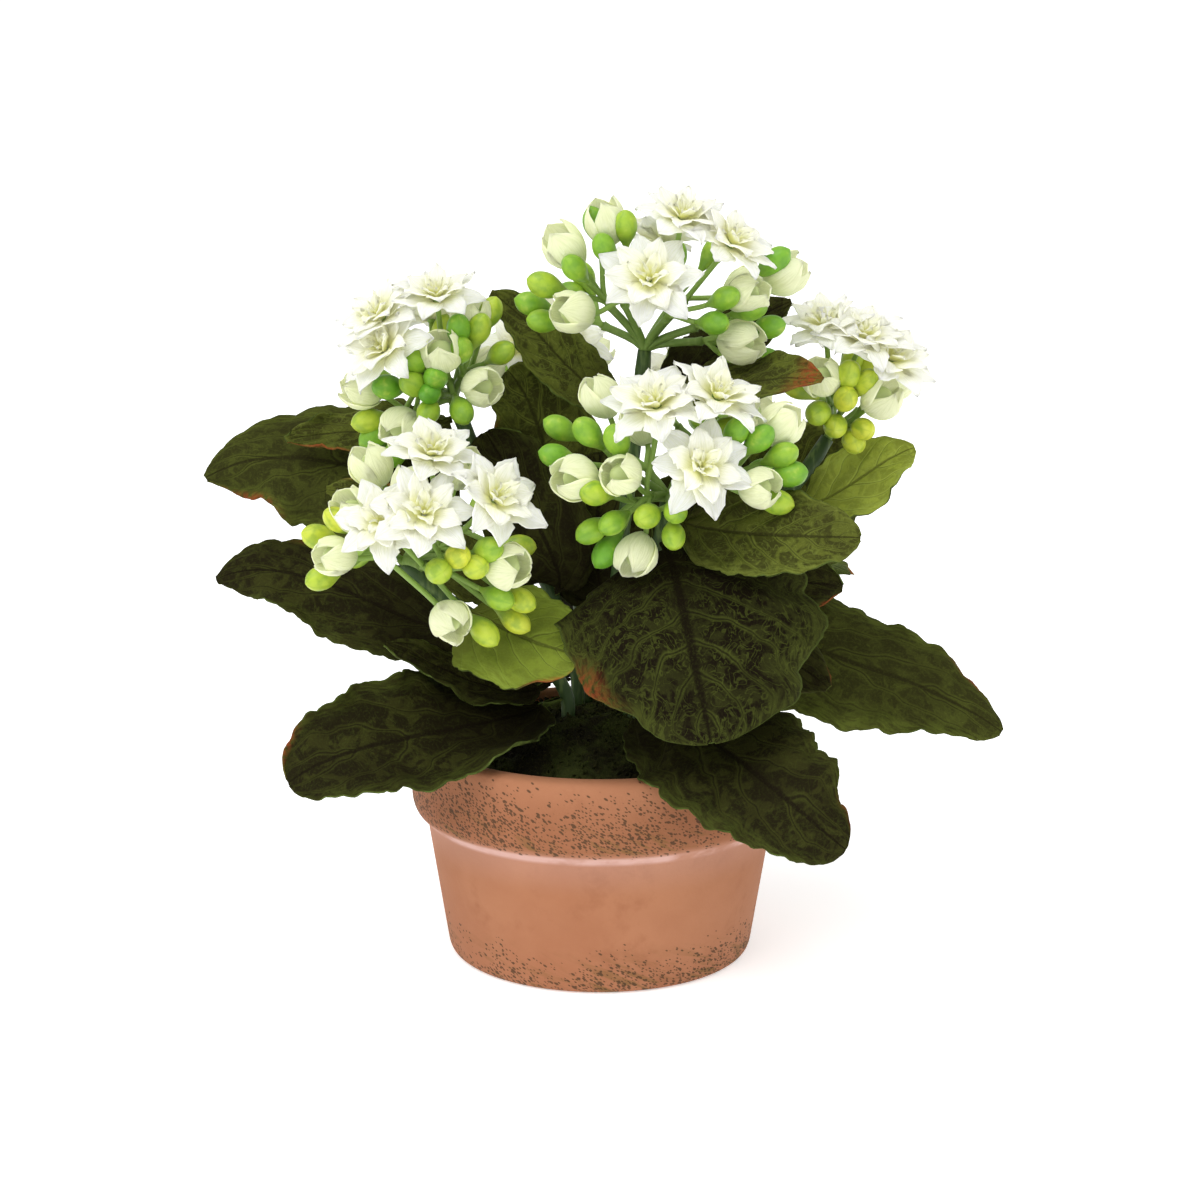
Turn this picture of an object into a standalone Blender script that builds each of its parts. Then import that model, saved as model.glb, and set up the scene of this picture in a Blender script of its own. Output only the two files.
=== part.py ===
"""Potted kalanchoe with double white flowers, in a low clay pot.

The origin is the middle of the pot's base, on the surface it stands on. +Z is up
and the side that the photograph shows looks towards -Y. Units are metres.
"""
import math
import random

import bmesh
import bpy
from mathutils import Matrix, Vector

MM = 0.001

# Clearance between pieces that touch, in millimetres, as are all sizes below.
FIT_GAP = 0.35

# Pot: a low pan with a thick rolled rim, as radius and height pairs.
POT_HEIGHT = 71.0
POT_RIM_RADIUS = 60.0
POT_FLOOR = 8.0
POT_SIDES = 32
POT_INSIDE = [(0.0, POT_FLOOR), (44.5, POT_FLOOR), (50.6, 44.0), (53.4, 69.8), (54.8, POT_HEIGHT)]
POT_OUTSIDE = [
    (57.6, POT_HEIGHT), (59.6, 69.8), (POT_RIM_RADIUS, 51.0), (58.9, 47.4), (56.4, 45.0),
    (55.3, 43.8), (48.6, 1.8), (47.0, 0.0), (0.0, 0.0),
]

# Moss over the potting mix, a domed plug that fills the pot.
MOSS_SIDES = 24
MOSS_PROFILE = [
    (0.0, 79.0), (20.0, 77.0), (40.0, 70.0), (51.4, 61.0), (50.2, 44.0),
    (44.0, POT_FLOOR + 0.4), (0.0, POT_FLOOR + 0.4),
]

# Stems stand in plain holes in the moss.
STEM_RADIUS = 2.2
STEM_FOOT_HEIGHT = 44.0
STEM_FREE_HEIGHT = 81.0
HOLE_RADIUS = 2.75
PEDICEL_RADIUS = 1.0
BRANCHING = (0.0, 0.34, 0.5, 0.66)

# Leaves.
LEAF_THICKNESS = 0.85
LEAF_STALK_HALF = 1.5
LEAF_JOIN_GAP = 0.6
LEAF_SPREAD = 0.45
LEAF_STALK = 0.08
LEAF_BELLY = 0.82
LEAF_BLUNT = 0.6
LEAF_STATIONS = (0.0, 0.08, 0.16, 0.32, 0.50, 0.68, 0.84, 0.95, 1.0)
LEAF_ACROSS = 4

# Flowers and buds.
BLOOM_RADIUS = 16.0
BLOOM_INNER_RADIUS = 11.0
PETAL_THICKNESS = 0.8
PETALS = 5
BLOOM_SEAT = 0.8
BUD_SIDES = 5
BUD_LENGTH = 10.5
BUD_RADIUS = 3.7
CUP_LENGTH = 13.0
CUP_RADIUS = 5.8

# The photograph's view: distance, tilt, the height it aims at, and its scale.
VIEW_DISTANCE = 820.0
VIEW_TILT = math.radians(12.5)
VIEW_AIM_HEIGHT = 113.5
VIEW_MIDDLE_PX = (600.5, 600.0)
MM_PER_PX = 0.3158

# Each flowering stem: foot on the moss, branching point and outline of its head in
# photograph pixels with its depth, and how many flowers and buds its far side has.
# "open" are double flowers, "cup" are opening buds and "bud" closed ones, in pixels.
HEADS = {
    "top": dict(
        foot=(3, 2), fork=(645, 350), fork_depth=4, centre=(662, 292), reach=(132, 92), depth=2, bulge=27,
        open=[(650, 283), (682, 222), (730, 246)],
        cup=[(565, 247), (573, 312), (742, 342), (786, 275)],
        bud=[(595, 223), (627, 226), (608, 250), (545, 285), (532, 304), (726, 298), (715, 323),
             (770, 327)],
        behind=(1, 1, 3)),
    "front_right": dict(
        foot=(9, -11), fork=(668, 500), fork_depth=-31,
        centre=(676, 478), reach=(132, 100), depth=-33, bulge=25,
        open=[(657, 410), (716, 402), (700, 470)],
        cup=[(605, 398), (576, 478), (622, 475), (760, 488), (781, 425), (637, 555)],
        bud=[(560, 428), (590, 434), (595, 493), (592, 531), (648, 516), (674, 530), (734, 430),
             (790, 474), (777, 502)],
        behind=(0, 1, 2)),
    "front_left": dict(
        foot=(-10, -8), fork=(405, 562), fork_depth=-26,
        centre=(438, 556), reach=(125, 116), depth=-29, bulge=33,
        open=[(424, 516), (493, 502), (385, 525), (432, 458)],
        cup=[(335, 556), (350, 507), (508, 566), (451, 620), (372, 466)],
        bud=[(322, 578), (338, 520), (439, 571), (476, 567), (500, 598), (516, 621), (485, 632)],
        behind=(0, 1, 2)),
    "left_back": dict(
        foot=(-7, 6), fork=(455, 400), fork_depth=12, centre=(430, 375), reach=(84, 104),
        depth=12, bulge=22,
        open=[(438, 301), (383, 320), (388, 352)],
        cup=[(438, 349), (361, 389), (401, 427), (482, 387)],
        bud=[(479, 329), (462, 350), (436, 378), (412, 361), (387, 387), (462, 411), (372, 446)],
        behind=(1, 1, 2)),
    "right_back": dict(
        foot=(12, 3), fork=(828, 438), fork_depth=16, centre=(848, 385), reach=(76, 72), depth=15, bulge=20,
        open=[(826, 330), (862, 342), (889, 362)],
        cup=[(822, 378), (882, 398)],
        bud=[(849, 375), (846, 399), (819, 413), (863, 429)],
        behind=(1, 1, 2)),
    "back_left": dict(
        foot=(-4, 14), fork=(540, 402), fork_depth=48, centre=(544, 358), reach=(80, 70), depth=51,
        bulge=19,
        open=[(524, 350), (562, 348)],
        cup=[(580, 372)],
        bud=[(500, 380), (545, 388)],
        behind=(1, 1, 3)),
    "back_right": dict(
        foot=(8, 13), fork=(700, 452), fork_depth=50, centre=(700, 410), reach=(90, 74), depth=52, bulge=22,
        open=[(676, 380), (722, 384)],
        cup=[(752, 410)],
        bud=[(650, 404), (700, 420)],
        behind=(1, 1, 3)),
}

# Leaves. stem: the stem that carries it; at: how far up that stem's bend; tip and
# depth: tip in photograph pixels with its depth (or tip_mm: the tip in millimetres);
# bend: how far the middle of the midrib lies off a straight line; face: where the
# upper side looks; width, cup (edges raised) and wave (edges ruffled) in millimetres.
# belly: the lower, the nearer its widest place lies to the stem; blunt: the lower, the
# blunter its ends; lop: how much wider one half is; curl: a rolled edge, as side, share
# of the leaf's length, spread and height in millimetres.
LEAVES = {
    "low_left": dict(
        stem="front_left", at=0.06, tip=(289, 783), depth=-57, bend=(-4, -15, 10),
        face=(0, -0.74, 0.67), face_base=(0, -0.4, 0.9), width=45, cup=3, wave=2.0, belly=0.68,
        blunt=0.42, curl=(-1, 0.3, 0.2, 9)),
    "low_right": dict(
        stem="front_right", at=0.055, tip=(846, 850), depth=-86, bend=(-5, -22.5, 12),
        face=(0.1, -0.86, 0.5), face_base=(0, -0.4, 0.9), width=48, cup=-2, wave=1.6, belly=0.68,
        blunt=0.42),
    "front": dict(
        stem="front_right", at=0.84, tip=(712, 743), depth=-86, bend=(0, -1, 1),
        face=(0.06, -0.88, 0.47), width=80, cup=-7, wave=1.5, belly=0.68, lop=-0.07),
    "front_under": dict(
        stem="front_right", at=0.42, tip=(829, 688), depth=-36, bend=(0, 4, 7), face=(0.1, -0.85, 0.5),
        width=34, cup=-2, wave=1.5),
    "right": dict(
        stem="right_back", at=0.42, tip=(1002, 732), depth=-20, bend=(0, -3, 8),
        face=(0.1, -0.75, 0.65), width=50, cup=-3, wave=2.0, belly=0.52, blunt=0.5),
    "light": dict(
        stem="front_left", at=0.7, tip=(580, 655), depth=-58, bend=(-2, 1, -2), face=(0.1, -0.85, 0.5),
        width=37, cup=-2, wave=1.0, belly=0.75, blunt=0.42),
    "left_upper": dict(
        stem="left_back", at=0.8, tip=(206, 478), depth=20, bend=(0, 8, 11), face=(0, -0.75, 0.66),
        width=56, cup=-3, wave=1.6, belly=0.58),
    "left_middle": dict(
        stem="front_left", at=0.62, tip=(217, 580), depth=-8, bend=(0, -2, 15), face=(0, -0.85, 0.53),
        width=32, cup=-2, wave=3.0),
    "left_small": dict(
        stem="left_back", at=0.95, tip=(286, 440), depth=13, bend=(0, 9, 0), face=(0, -0.7, 0.7),
        width=20, cup=1, wave=0.8),
    "left_inner": dict(
        stem="left_back", at=0.42, tip=(327, 490), depth=-2.5, bend=(0, -4, 8), face=(0, -0.95, 0.3),
        width=23, cup=1, wave=0.8),
    "left_under": dict(
        stem="front_left", at=0.2, tip=(386, 644), depth=-23, bend=(0, -8, 1), face=(0, -0.5, 0.85),
        width=19, cup=1, wave=0.8),
    "middle": dict(
        stem="back_left", at=0.55, tip=(508, 370), depth=16, bend=(6, 1, 2), face=(0.1, -0.95, 0.3),
        width=38, cup=1, wave=1.0, blunt=0.42),
    "inner_left": dict(
        stem="left_back", at=0.36, tip=(486, 432), depth=6, bend=(0, 3, 2), face=(0.1, -0.95, 0.3),
        width=34, cup=-1, wave=1.2, blunt=0.45),
    "inner_right": dict(
        stem="back_right", at=0.35, tip=(742, 452), depth=30, bend=(0, 2, 2), face=(0, -0.95, 0.3),
        width=44, cup=-1, wave=1.2, blunt=0.45),
    "inner_middle": dict(
        stem="top", at=0.3, tip=(600, 452), depth=14, bend=(0, 2, 1), face=(0, -0.95, 0.3), width=36,
        cup=-1, wave=1.2, blunt=0.45),
    "inner_corner": dict(
        stem="back_right", at=0.72, tip=(872, 446), depth=36, bend=(0, 2, 1), face=(0, -0.95, 0.3),
        width=40, cup=-1, wave=1.2, blunt=0.45),
    "top_left": dict(
        stem="top", at=0.84, tip=(491, 293), depth=16, bend=(0, 3, 3), face=(0, -0.8, 0.6), width=22,
        cup=1, wave=1.0),
    "top_right": dict(
        stem="top", at=0.9, tip=(823, 380), depth=-34, bend=(0, -3, 3), face=(0, -0.5, 0.86), width=32,
        cup=1, wave=1.0),
    "right_upper": dict(
        stem="right_back", at=0.8, tip=(915, 448), depth=4, bend=(0, -5, 3), face=(0, -0.8, 0.6),
        width=24, cup=1, wave=1.0, blunt=0.5),
    "right_dark": dict(
        stem="right_back", at=0.78, tip=(890, 482), depth=18, bend=(0, 6, -1), face=(0, -0.8, 0.6),
        width=17, cup=1, wave=1.0),
    "right_middle": dict(
        stem="front_right", at=0.93, tip=(861, 538), depth=-60, bend=(0, -4, 0), face=(0, -0.85, 0.5),
        width=29, cup=1, wave=1.0, blunt=0.42),
    "right_corner": dict(
        stem="right_back", at=0.54, tip=(843, 588), depth=2, bend=(0, -3, 2), face=(0, -0.8, 0.6),
        width=26, cup=1, wave=1.0),
    "top_behind": dict(
        stem="top", at=0.9, tip=(792, 302), depth=34, bend=(0, 5, 3), face=(0, -0.9, 0.4), width=22,
        cup=1, wave=1.0),
    "back_low_left": dict(
        stem="left_back", at=0.05, tip_mm=(-70, 70, 66), bend=(0, 0, 12), face=(0, 0, 1), width=46,
        cup=-3, wave=2.0),
    "back_low_right": dict(
        stem="right_back", at=0.05, tip_mm=(78, 68, 62), bend=(0, 3, 14), face=(0, 0, 1), width=46,
        cup=-3, wave=2.0),
    "back_middle": dict(
        stem="back_left", at=0.3, tip_mm=(6, 104, 92), bend=(0, 0, 12), face=(0, 0, 1), width=46,
        cup=-3, wave=2.0),
    "back_left_leaf": dict(
        stem="back_left", at=0.6, tip_mm=(-78, 66, 128), bend=(0, 0, 8), face=(0, 0.2, 1), width=38,
        cup=-2, wave=1.6),
    "back_right_leaf": dict(
        stem="back_right", at=0.6, tip_mm=(86, 66, 108), bend=(0, 0, 8), face=(0, 0.2, 1), width=40,
        cup=-2, wave=1.6),
}

SEED = 11
GOLDEN_ANGLE = math.pi * (3.0 - math.sqrt(5.0))

# Colours, roughness.
CLAY = ((0.60, 0.27, 0.17), 0.85)
MOSS = ((0.03, 0.035, 0.012), 0.95)
BUD_GREEN = ((0.28, 0.50, 0.06), 0.45)
PETAL_WHITE = ((0.86, 0.87, 0.76), 0.7)
LEAF_DARK = ((0.035, 0.062, 0.012), 0.7)
LEAF_LIGHT = ((0.10, 0.17, 0.025), 0.7)
LIGHT_LEAVES = ("light", "left_small", "top_left", "right_upper", "right_middle", "left_inner")


def clear_scene():
    for obj in list(bpy.data.objects):
        bpy.data.objects.remove(obj, do_unlink=True)


def make_material(name, colour, roughness):
    material = bpy.data.materials.new(name)
    material.use_nodes = True
    shader = material.node_tree.nodes["Principled BSDF"]
    shader.inputs["Base Color"].default_value = (*colour, 1.0)
    shader.inputs["Roughness"].default_value = roughness
    shader.inputs["Metallic"].default_value = 0.0
    material.diffuse_color = (*colour, 1.0)
    return material


def make_object(name, mesh, collection):
    obj = bpy.data.objects.new(name, mesh)
    collection.objects.link(obj)
    return obj


def finish(obj, material, angle=40.0):
    obj.data.materials.clear()
    obj.data.materials.append(material)
    obj.data.shade_smooth()
    obj.data.set_sharp_from_angle(angle=math.radians(angle))


def seen(px, py, depth):
    """Point in millimetres seen at a pixel of the photograph, at depth +Y."""
    forward = Vector((0.0, math.cos(VIEW_TILT), -math.sin(VIEW_TILT)))
    upward = Vector((0.0, math.sin(VIEW_TILT), math.cos(VIEW_TILT)))
    eye = Vector((0.0, 0.0, VIEW_AIM_HEIGHT)) - forward * VIEW_DISTANCE
    right = (px - VIEW_MIDDLE_PX[0]) * MM_PER_PX / VIEW_DISTANCE
    rise = (VIEW_MIDDLE_PX[1] - py) * MM_PER_PX / VIEW_DISTANCE
    ray = forward + Vector((right, 0.0, 0.0)) + upward * rise
    return eye + ray * ((depth - eye.y) / ray.y)


def evaluated_mesh(obj):
    depsgraph = bpy.context.evaluated_depsgraph_get()
    depsgraph.update()
    return bpy.data.meshes.new_from_object(obj.evaluated_get(depsgraph))


def turned_mesh(name, profile, sides):
    """Closed turned mesh from (radius, height) pairs in mm that run down the outside."""
    mesh = bpy.data.meshes.new(name)
    points = [(radius * MM, 0.0, height * MM) for radius, height in profile]
    mesh.from_pydata(points, [(i, i + 1) for i in range(len(points) - 1)], [])
    obj = bpy.data.objects.new(name, mesh)
    bpy.context.scene.collection.objects.link(obj)
    screw = obj.modifiers.new("turn", "SCREW")
    screw.axis = "Z"
    screw.angle = 2.0 * math.pi
    screw.steps = sides
    screw.render_steps = sides
    screw.use_merge_vertices = True
    screw.merge_threshold = 0.00005
    turned = evaluated_mesh(obj)
    turned.name = name
    bpy.data.objects.remove(obj, do_unlink=True)
    return turned


def tube(name, points, radius, detail, collection):
    """Closed tube through points in mm, as a mesh."""
    curve = bpy.data.curves.new(name, "CURVE")
    curve.dimensions = "3D"
    curve.bevel_depth = radius * MM
    curve.bevel_resolution = detail
    curve.use_fill_caps = True
    spline = curve.splines.new("POLY")
    spline.points.add(len(points) - 1)
    for index, point in enumerate(points):
        spline.points[index].co = (*(Vector(point) * MM), 1.0)
    guide = bpy.data.objects.new(name, curve)
    bpy.context.scene.collection.objects.link(guide)
    mesh = evaluated_mesh(guide)
    matrix = guide.matrix_world.copy()
    bpy.data.objects.remove(guide, do_unlink=True)
    bpy.data.curves.remove(curve)
    bm = bmesh.new()
    bm.from_mesh(mesh)
    bmesh.ops.remove_doubles(bm, verts=bm.verts, dist=0.00001)
    bmesh.ops.recalc_face_normals(bm, faces=bm.faces)
    bm.to_mesh(mesh)
    bm.free()
    obj = make_object(name, mesh, collection)
    obj.matrix_world = matrix
    return obj


def aim(point, axis, spin=0.0, size=1.0):
    """Matrix that stands local +Z along an axis at a point in mm."""
    turn = Vector(axis).to_track_quat("Z", "Y").to_matrix().to_4x4()
    return (Matrix.Translation(Vector(point) * MM) @ turn @ Matrix.Rotation(spin, 4, "Z")
            @ Matrix.Scale(size, 4))


def fuse(base, others, name):
    """One body from a base object and the objects of a collection."""
    union = base.modifiers.new("fuse", "BOOLEAN")
    union.operation = "UNION"
    union.operand_type = "COLLECTION"
    union.collection = others
    union.solver = "MANIFOLD"
    mesh = evaluated_mesh(base)
    mesh.transform(base.matrix_world)
    mesh.name = name
    for obj in list(others.objects):
        bpy.data.objects.remove(obj, do_unlink=True)
    bpy.data.objects.remove(base, do_unlink=True)
    return mesh


def loose_bodies(mesh):
    """One mesh for each body that holds together; sealed hollows are filled."""
    bm = bmesh.new()
    bm.from_mesh(mesh)
    bm.verts.ensure_lookup_table()
    left = set(range(len(bm.verts)))
    groups = []
    while left:
        waiting = [min(left)]
        group = set(waiting)
        while waiting:
            for edge in bm.verts[waiting.pop()].link_edges:
                for vertex in edge.verts:
                    if vertex.index not in group:
                        group.add(vertex.index)
                        waiting.append(vertex.index)
        left -= group
        groups.append(group)
    bm.free()
    bodies = []
    for group in groups:
        body = bmesh.new()
        body.from_mesh(mesh)
        others = [vertex for vertex in body.verts if vertex.index not in group]
        bmesh.ops.delete(body, geom=others, context="VERTS")
        if body.calc_volume(signed=True) <= 0.0:
            body.free()
            continue
        part = bpy.data.meshes.new(mesh.name)
        body.to_mesh(part)
        body.free()
        bodies.append(part)
    bpy.data.meshes.remove(mesh)
    return bodies


def stem_path(head):
    """Midline of a stem in mm: straight in the moss, then a bend to its fork."""
    foot = Vector((head["foot"][0], head["foot"][1], STEM_FREE_HEIGHT))
    fork = seen(*head["fork"], head["fork_depth"])
    lean = Vector((fork.x - foot.x, fork.y - foot.y, (fork.z - foot.z) * 1.3)).normalized()
    rise = foot + Vector((0.0, 0.0, 0.34 * (fork.z - foot.z)))
    near = fork - lean * 0.36 * (fork - foot).length
    return foot, rise, near, fork


def stem_point(head, share):
    """Point on the stem's bend and its direction there."""
    a, b, c, d = stem_path(head)
    left = 1.0 - share
    point = a * left ** 3 + b * 3 * share * left ** 2 + c * 3 * share ** 2 * left + d * share ** 3
    slope = (b - a) * 3 * left ** 2 + (c - b) * 6 * share * left + (d - c) * 3 * share ** 2
    return point, slope.normalized()


def head_items(head, draw):
    """Flowers and buds of one head: kind, centre in mm, axis, size and spin."""
    centre_px, reach, depth, bulge = head["centre"], head["reach"], head["depth"], head["bulge"]
    middle = seen(*centre_px, depth)
    fork = seen(*head["fork"], head["fork_depth"])
    inside = middle.lerp(fork, 0.6)
    items = []
    for kind in ("open", "cup", "bud"):
        for px, py in head[kind]:
            across = ((px - centre_px[0]) / reach[0]) ** 2 + ((py - centre_px[1]) / reach[1]) ** 2
            place = seen(px, py, depth - bulge * math.sqrt(max(0.0, 1.0 - across)))
            items.append(dict(kind=kind, at=place))
    behind = ["open"] * head["behind"][0] + ["cup"] * head["behind"][1] + ["bud"] * head["behind"][2]
    wide, tall = reach[0] * MM_PER_PX, reach[1] * MM_PER_PX
    for index, kind in enumerate(behind):
        angle = math.radians(90.0) + (index + 0.5) * GOLDEN_ANGLE
        sweep = math.radians(90.0 + 68.0 * math.sin(angle))
        climb = math.radians(18.0 + 26.0 * math.cos(2.0 * angle)) if index else math.radians(38.0)
        if kind == "open":
            sweep = math.radians(90.0 + (index - 0.5 * (head["behind"][0] - 1)) * 50.0)
        place = middle + Vector((0.72 * wide * math.cos(sweep) * math.cos(climb),
                                 0.62 * bulge * math.sin(sweep) * math.cos(climb),
                                 0.8 * tall * math.sin(climb)))
        items.append(dict(kind=kind, at=place))
    for item in items:
        item["axis"] = (item["at"] - inside + Vector((0.0, 0.0, 4.0))).normalized()
        item["size"] = draw.uniform(0.92, 1.06)
        item["spin"] = draw.uniform(0.0, 2.0 * math.pi)
    settle(items)
    return fork, items


def item_radius(item):
    return item["size"] * {"open": BLOOM_RADIUS, "cup": CUP_RADIUS, "bud": BUD_RADIUS}[item["kind"]]


def settle(items):
    """Buds beside a flower are shifted out of its petals, outwards or inwards."""
    flowers = [item for item in items if item["kind"] == "open"]
    buds = [item for item in items if item["kind"] != "open"]
    for _ in range(40):
        for bud in buds:
            room = item_radius(bud) * (1.18 if bud["kind"] == "cup" else 1.3) + 0.6
            for flower in flowers:
                offset = bud["at"] - flower["at"]
                height = offset.dot(flower["axis"])
                flat = offset - flower["axis"] * height
                lack_out = item_radius(flower) + room - flat.length
                lack_in = height + room + 2.2
                lack_over = 6.5 + room - height
                if lack_out <= 0.0 or lack_in <= 0.0 or lack_over <= 0.0:
                    continue
                if lack_out <= lack_in:
                    bud["at"] = bud["at"] + flat.normalized() * min(lack_out, 1.0)
                else:
                    bud["at"] = bud["at"] - flower["axis"] * min(lack_in, 1.0)


def stalked_profile(kind, size, length):
    """Radius and height pairs of a bud and the stalk below it, down to -length."""
    if kind == "bud":
        tall, wide = BUD_LENGTH * size, BUD_RADIUS * size
        shape = [(0.0, 0.5 * tall), (0.68 * wide, 0.34 * tall), (wide, -0.04 * tall)]
    else:
        tall, wide = CUP_LENGTH * size, CUP_RADIUS * size
        shape = [(0.0, 0.28 * tall), (0.7 * wide, 0.5 * tall), (wide, 0.08 * tall),
                 (0.72 * wide, -0.34 * tall)]
    return shape + [(PEDICEL_RADIUS, -0.48 * tall), (PEDICEL_RADIUS, -length), (0.0, -length)]


def star_sheet(name):
    """Thin sheet of long low petals and short raised ones, folded along their midlines."""
    bm = bmesh.new()
    middle = bm.verts.new((0.0, 0.0, 0.0))
    notches, tips = [], []
    for index in range(2 * PETALS):
        turn = math.pi * index / PETALS
        notch_turn = turn - 0.5 * math.pi / PETALS
        reach, height = (BLOOM_INNER_RADIUS, 6.2) if index % 2 else (BLOOM_RADIUS, 1.6 - 0.8 * (index % 4))
        notches.append(bm.verts.new((0.42 * BLOOM_RADIUS * MM * math.cos(notch_turn),
                                     0.42 * BLOOM_RADIUS * MM * math.sin(notch_turn), 2.2 * MM)))
        tips.append(bm.verts.new((reach * MM * math.cos(turn), reach * MM * math.sin(turn), height * MM)))
    for index in range(2 * PETALS):
        bm.faces.new((middle, notches[index], tips[index]))
        bm.faces.new((middle, tips[index], notches[(index + 1) % (2 * PETALS)]))
    mesh = bpy.data.meshes.new(name)
    bm.to_mesh(mesh)
    bm.free()
    obj = bpy.data.objects.new(name, mesh)
    bpy.context.scene.collection.objects.link(obj)
    shell = obj.modifiers.new("thickness", "SOLIDIFY")
    shell.thickness = PETAL_THICKNESS * MM
    shell.offset = 0.0
    solid = evaluated_mesh(obj)
    solid.name = name
    bpy.data.objects.remove(obj, do_unlink=True)
    return solid


def leaf_half_width(share, leaf):
    """Half of the blade's width at a share of the leaf's length, past a short stalk."""
    along = max(0.0, (share - LEAF_STALK) / (1.0 - LEAF_STALK))
    swell = max(0.0, math.sin(math.pi * along ** leaf.get("belly", LEAF_BELLY)))
    return max(LEAF_STALK_HALF, 0.5 * leaf["width"] * swell ** leaf.get("blunt", LEAF_BLUNT))


def leaf_curl(share, side, leaf):
    """How far a rolled edge stands up."""
    curl_side, curl_share, spread, height = leaf.get("curl", (1, 0.0, 1.0, 0.0))
    outer = max(0.0, (side * curl_side - 0.35) / 0.65)
    return height * outer ** 1.5 * math.exp(-((share - curl_share) / spread) ** 2)


def leaf_ends(leaf):
    """Where the leaf's stalk meets its stem, the way out from the stem, and the tip."""
    head = HEADS[leaf["stem"]]
    on_stem, upward = stem_point(head, leaf["at"])
    tip = Vector(leaf["tip_mm"]) if "tip_mm" in leaf else seen(*leaf["tip"], leaf["depth"])
    outward = tip - on_stem
    outward = (outward - upward * outward.dot(upward)).normalized()
    return on_stem + outward * (STEM_RADIUS + LEAF_JOIN_GAP), outward, tip


def leaf_frame(leaf):
    """Function that gives a point on the leaf for a share of length and of half-width."""
    base, outward, tip = leaf_ends(leaf)
    control = (base + tip) * 0.5 + Vector(leaf["bend"]) * 2.0
    near = base + outward * LEAF_SPREAD * (control - base).length
    far = tip.lerp(control, 2.0 / 3.0)
    face_tip = Vector(leaf["face"]).normalized()
    face_base = Vector(leaf.get("face_base", leaf["face"])).normalized()

    def point(share, side):
        left = 1.0 - share
        middle = (base * left ** 3 + near * 3.0 * share * left ** 2 + far * 3.0 * share ** 2 * left
                  + tip * share ** 3)
        along = ((near - base) * left ** 2 + (far - near) * 2.0 * share * left + (tip - far) * share ** 2)
        along.normalize()
        across = along.cross(face_base.lerp(face_tip, min(1.0, 2.0 * share))).normalized()
        upward = across.cross(along)
        half = leaf_half_width(share, leaf)
        fullness = min(1.0, half / (0.3 * leaf["width"]))
        ruffle = math.sin(5.0 * math.pi * share + (0.9 if side > 0 else 2.6)) * leaf["wave"]
        raised = (leaf["cup"] + ruffle) * fullness * abs(side) ** 2 + leaf_curl(share, side, leaf)
        lop = 1.0 + leaf.get("lop", 0.0) * (1.0 if side > 0.0 else -1.0)
        return middle + across * (side * half * lop) + upward * raised

    return point


def build_leaf(name, leaf, material, collection):
    point = leaf_frame(leaf)
    bm = bmesh.new()
    rows = []
    for index, share in enumerate(LEAF_STATIONS):
        notch = 0.94 if index % 2 and 1 < index < len(LEAF_STATIONS) - 1 else 1.0
        row = []
        for step in range(LEAF_ACROSS + 1):
            side = 2.0 * step / LEAF_ACROSS - 1.0
            row.append(bm.verts.new(point(share, side * notch) * MM))
        rows.append(row)
    for lower, upper in zip(rows, rows[1:]):
        for step in range(LEAF_ACROSS):
            if step < LEAF_ACROSS // 2:
                bm.faces.new((lower[step], lower[step + 1], upper[step]))
                bm.faces.new((upper[step], lower[step + 1], upper[step + 1]))
            else:
                bm.faces.new((lower[step], lower[step + 1], upper[step + 1]))
                bm.faces.new((lower[step], upper[step + 1], upper[step]))
    mesh = bpy.data.meshes.new(name)
    bm.to_mesh(mesh)
    bm.free()
    obj = make_object(name, mesh, collection)
    shell = obj.modifiers.new("thickness", "SOLIDIFY")
    shell.thickness = LEAF_THICKNESS * MM
    shell.offset = 0.0
    shell.use_even_offset = False
    finish(obj, material, 60.0)
    return obj


def stalk_end(item):
    """A flower sits just above its stalk's end; a bud grows round it."""
    if item["kind"] == "open":
        return item["at"] - item["axis"] * (BLOOM_SEAT + FIT_GAP)
    return item["at"]


def add_stalk(start, item, parts):
    """Stalk from a point on its branch to a bud, or to just under a flower."""
    if item["kind"] == "open":
        end = stalk_end(item)
        tube("stalk", [start, end - item["axis"] * 2.0, end], PEDICEL_RADIUS, 0, parts)
        return
    direction = item["at"] - start
    mesh = turned_mesh("bud", stalked_profile(item["kind"], item["size"], direction.length), BUD_SIDES)
    bud = make_object("bud", mesh, parts)
    bud.matrix_world = aim(item["at"], direction, item["spin"])


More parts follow.
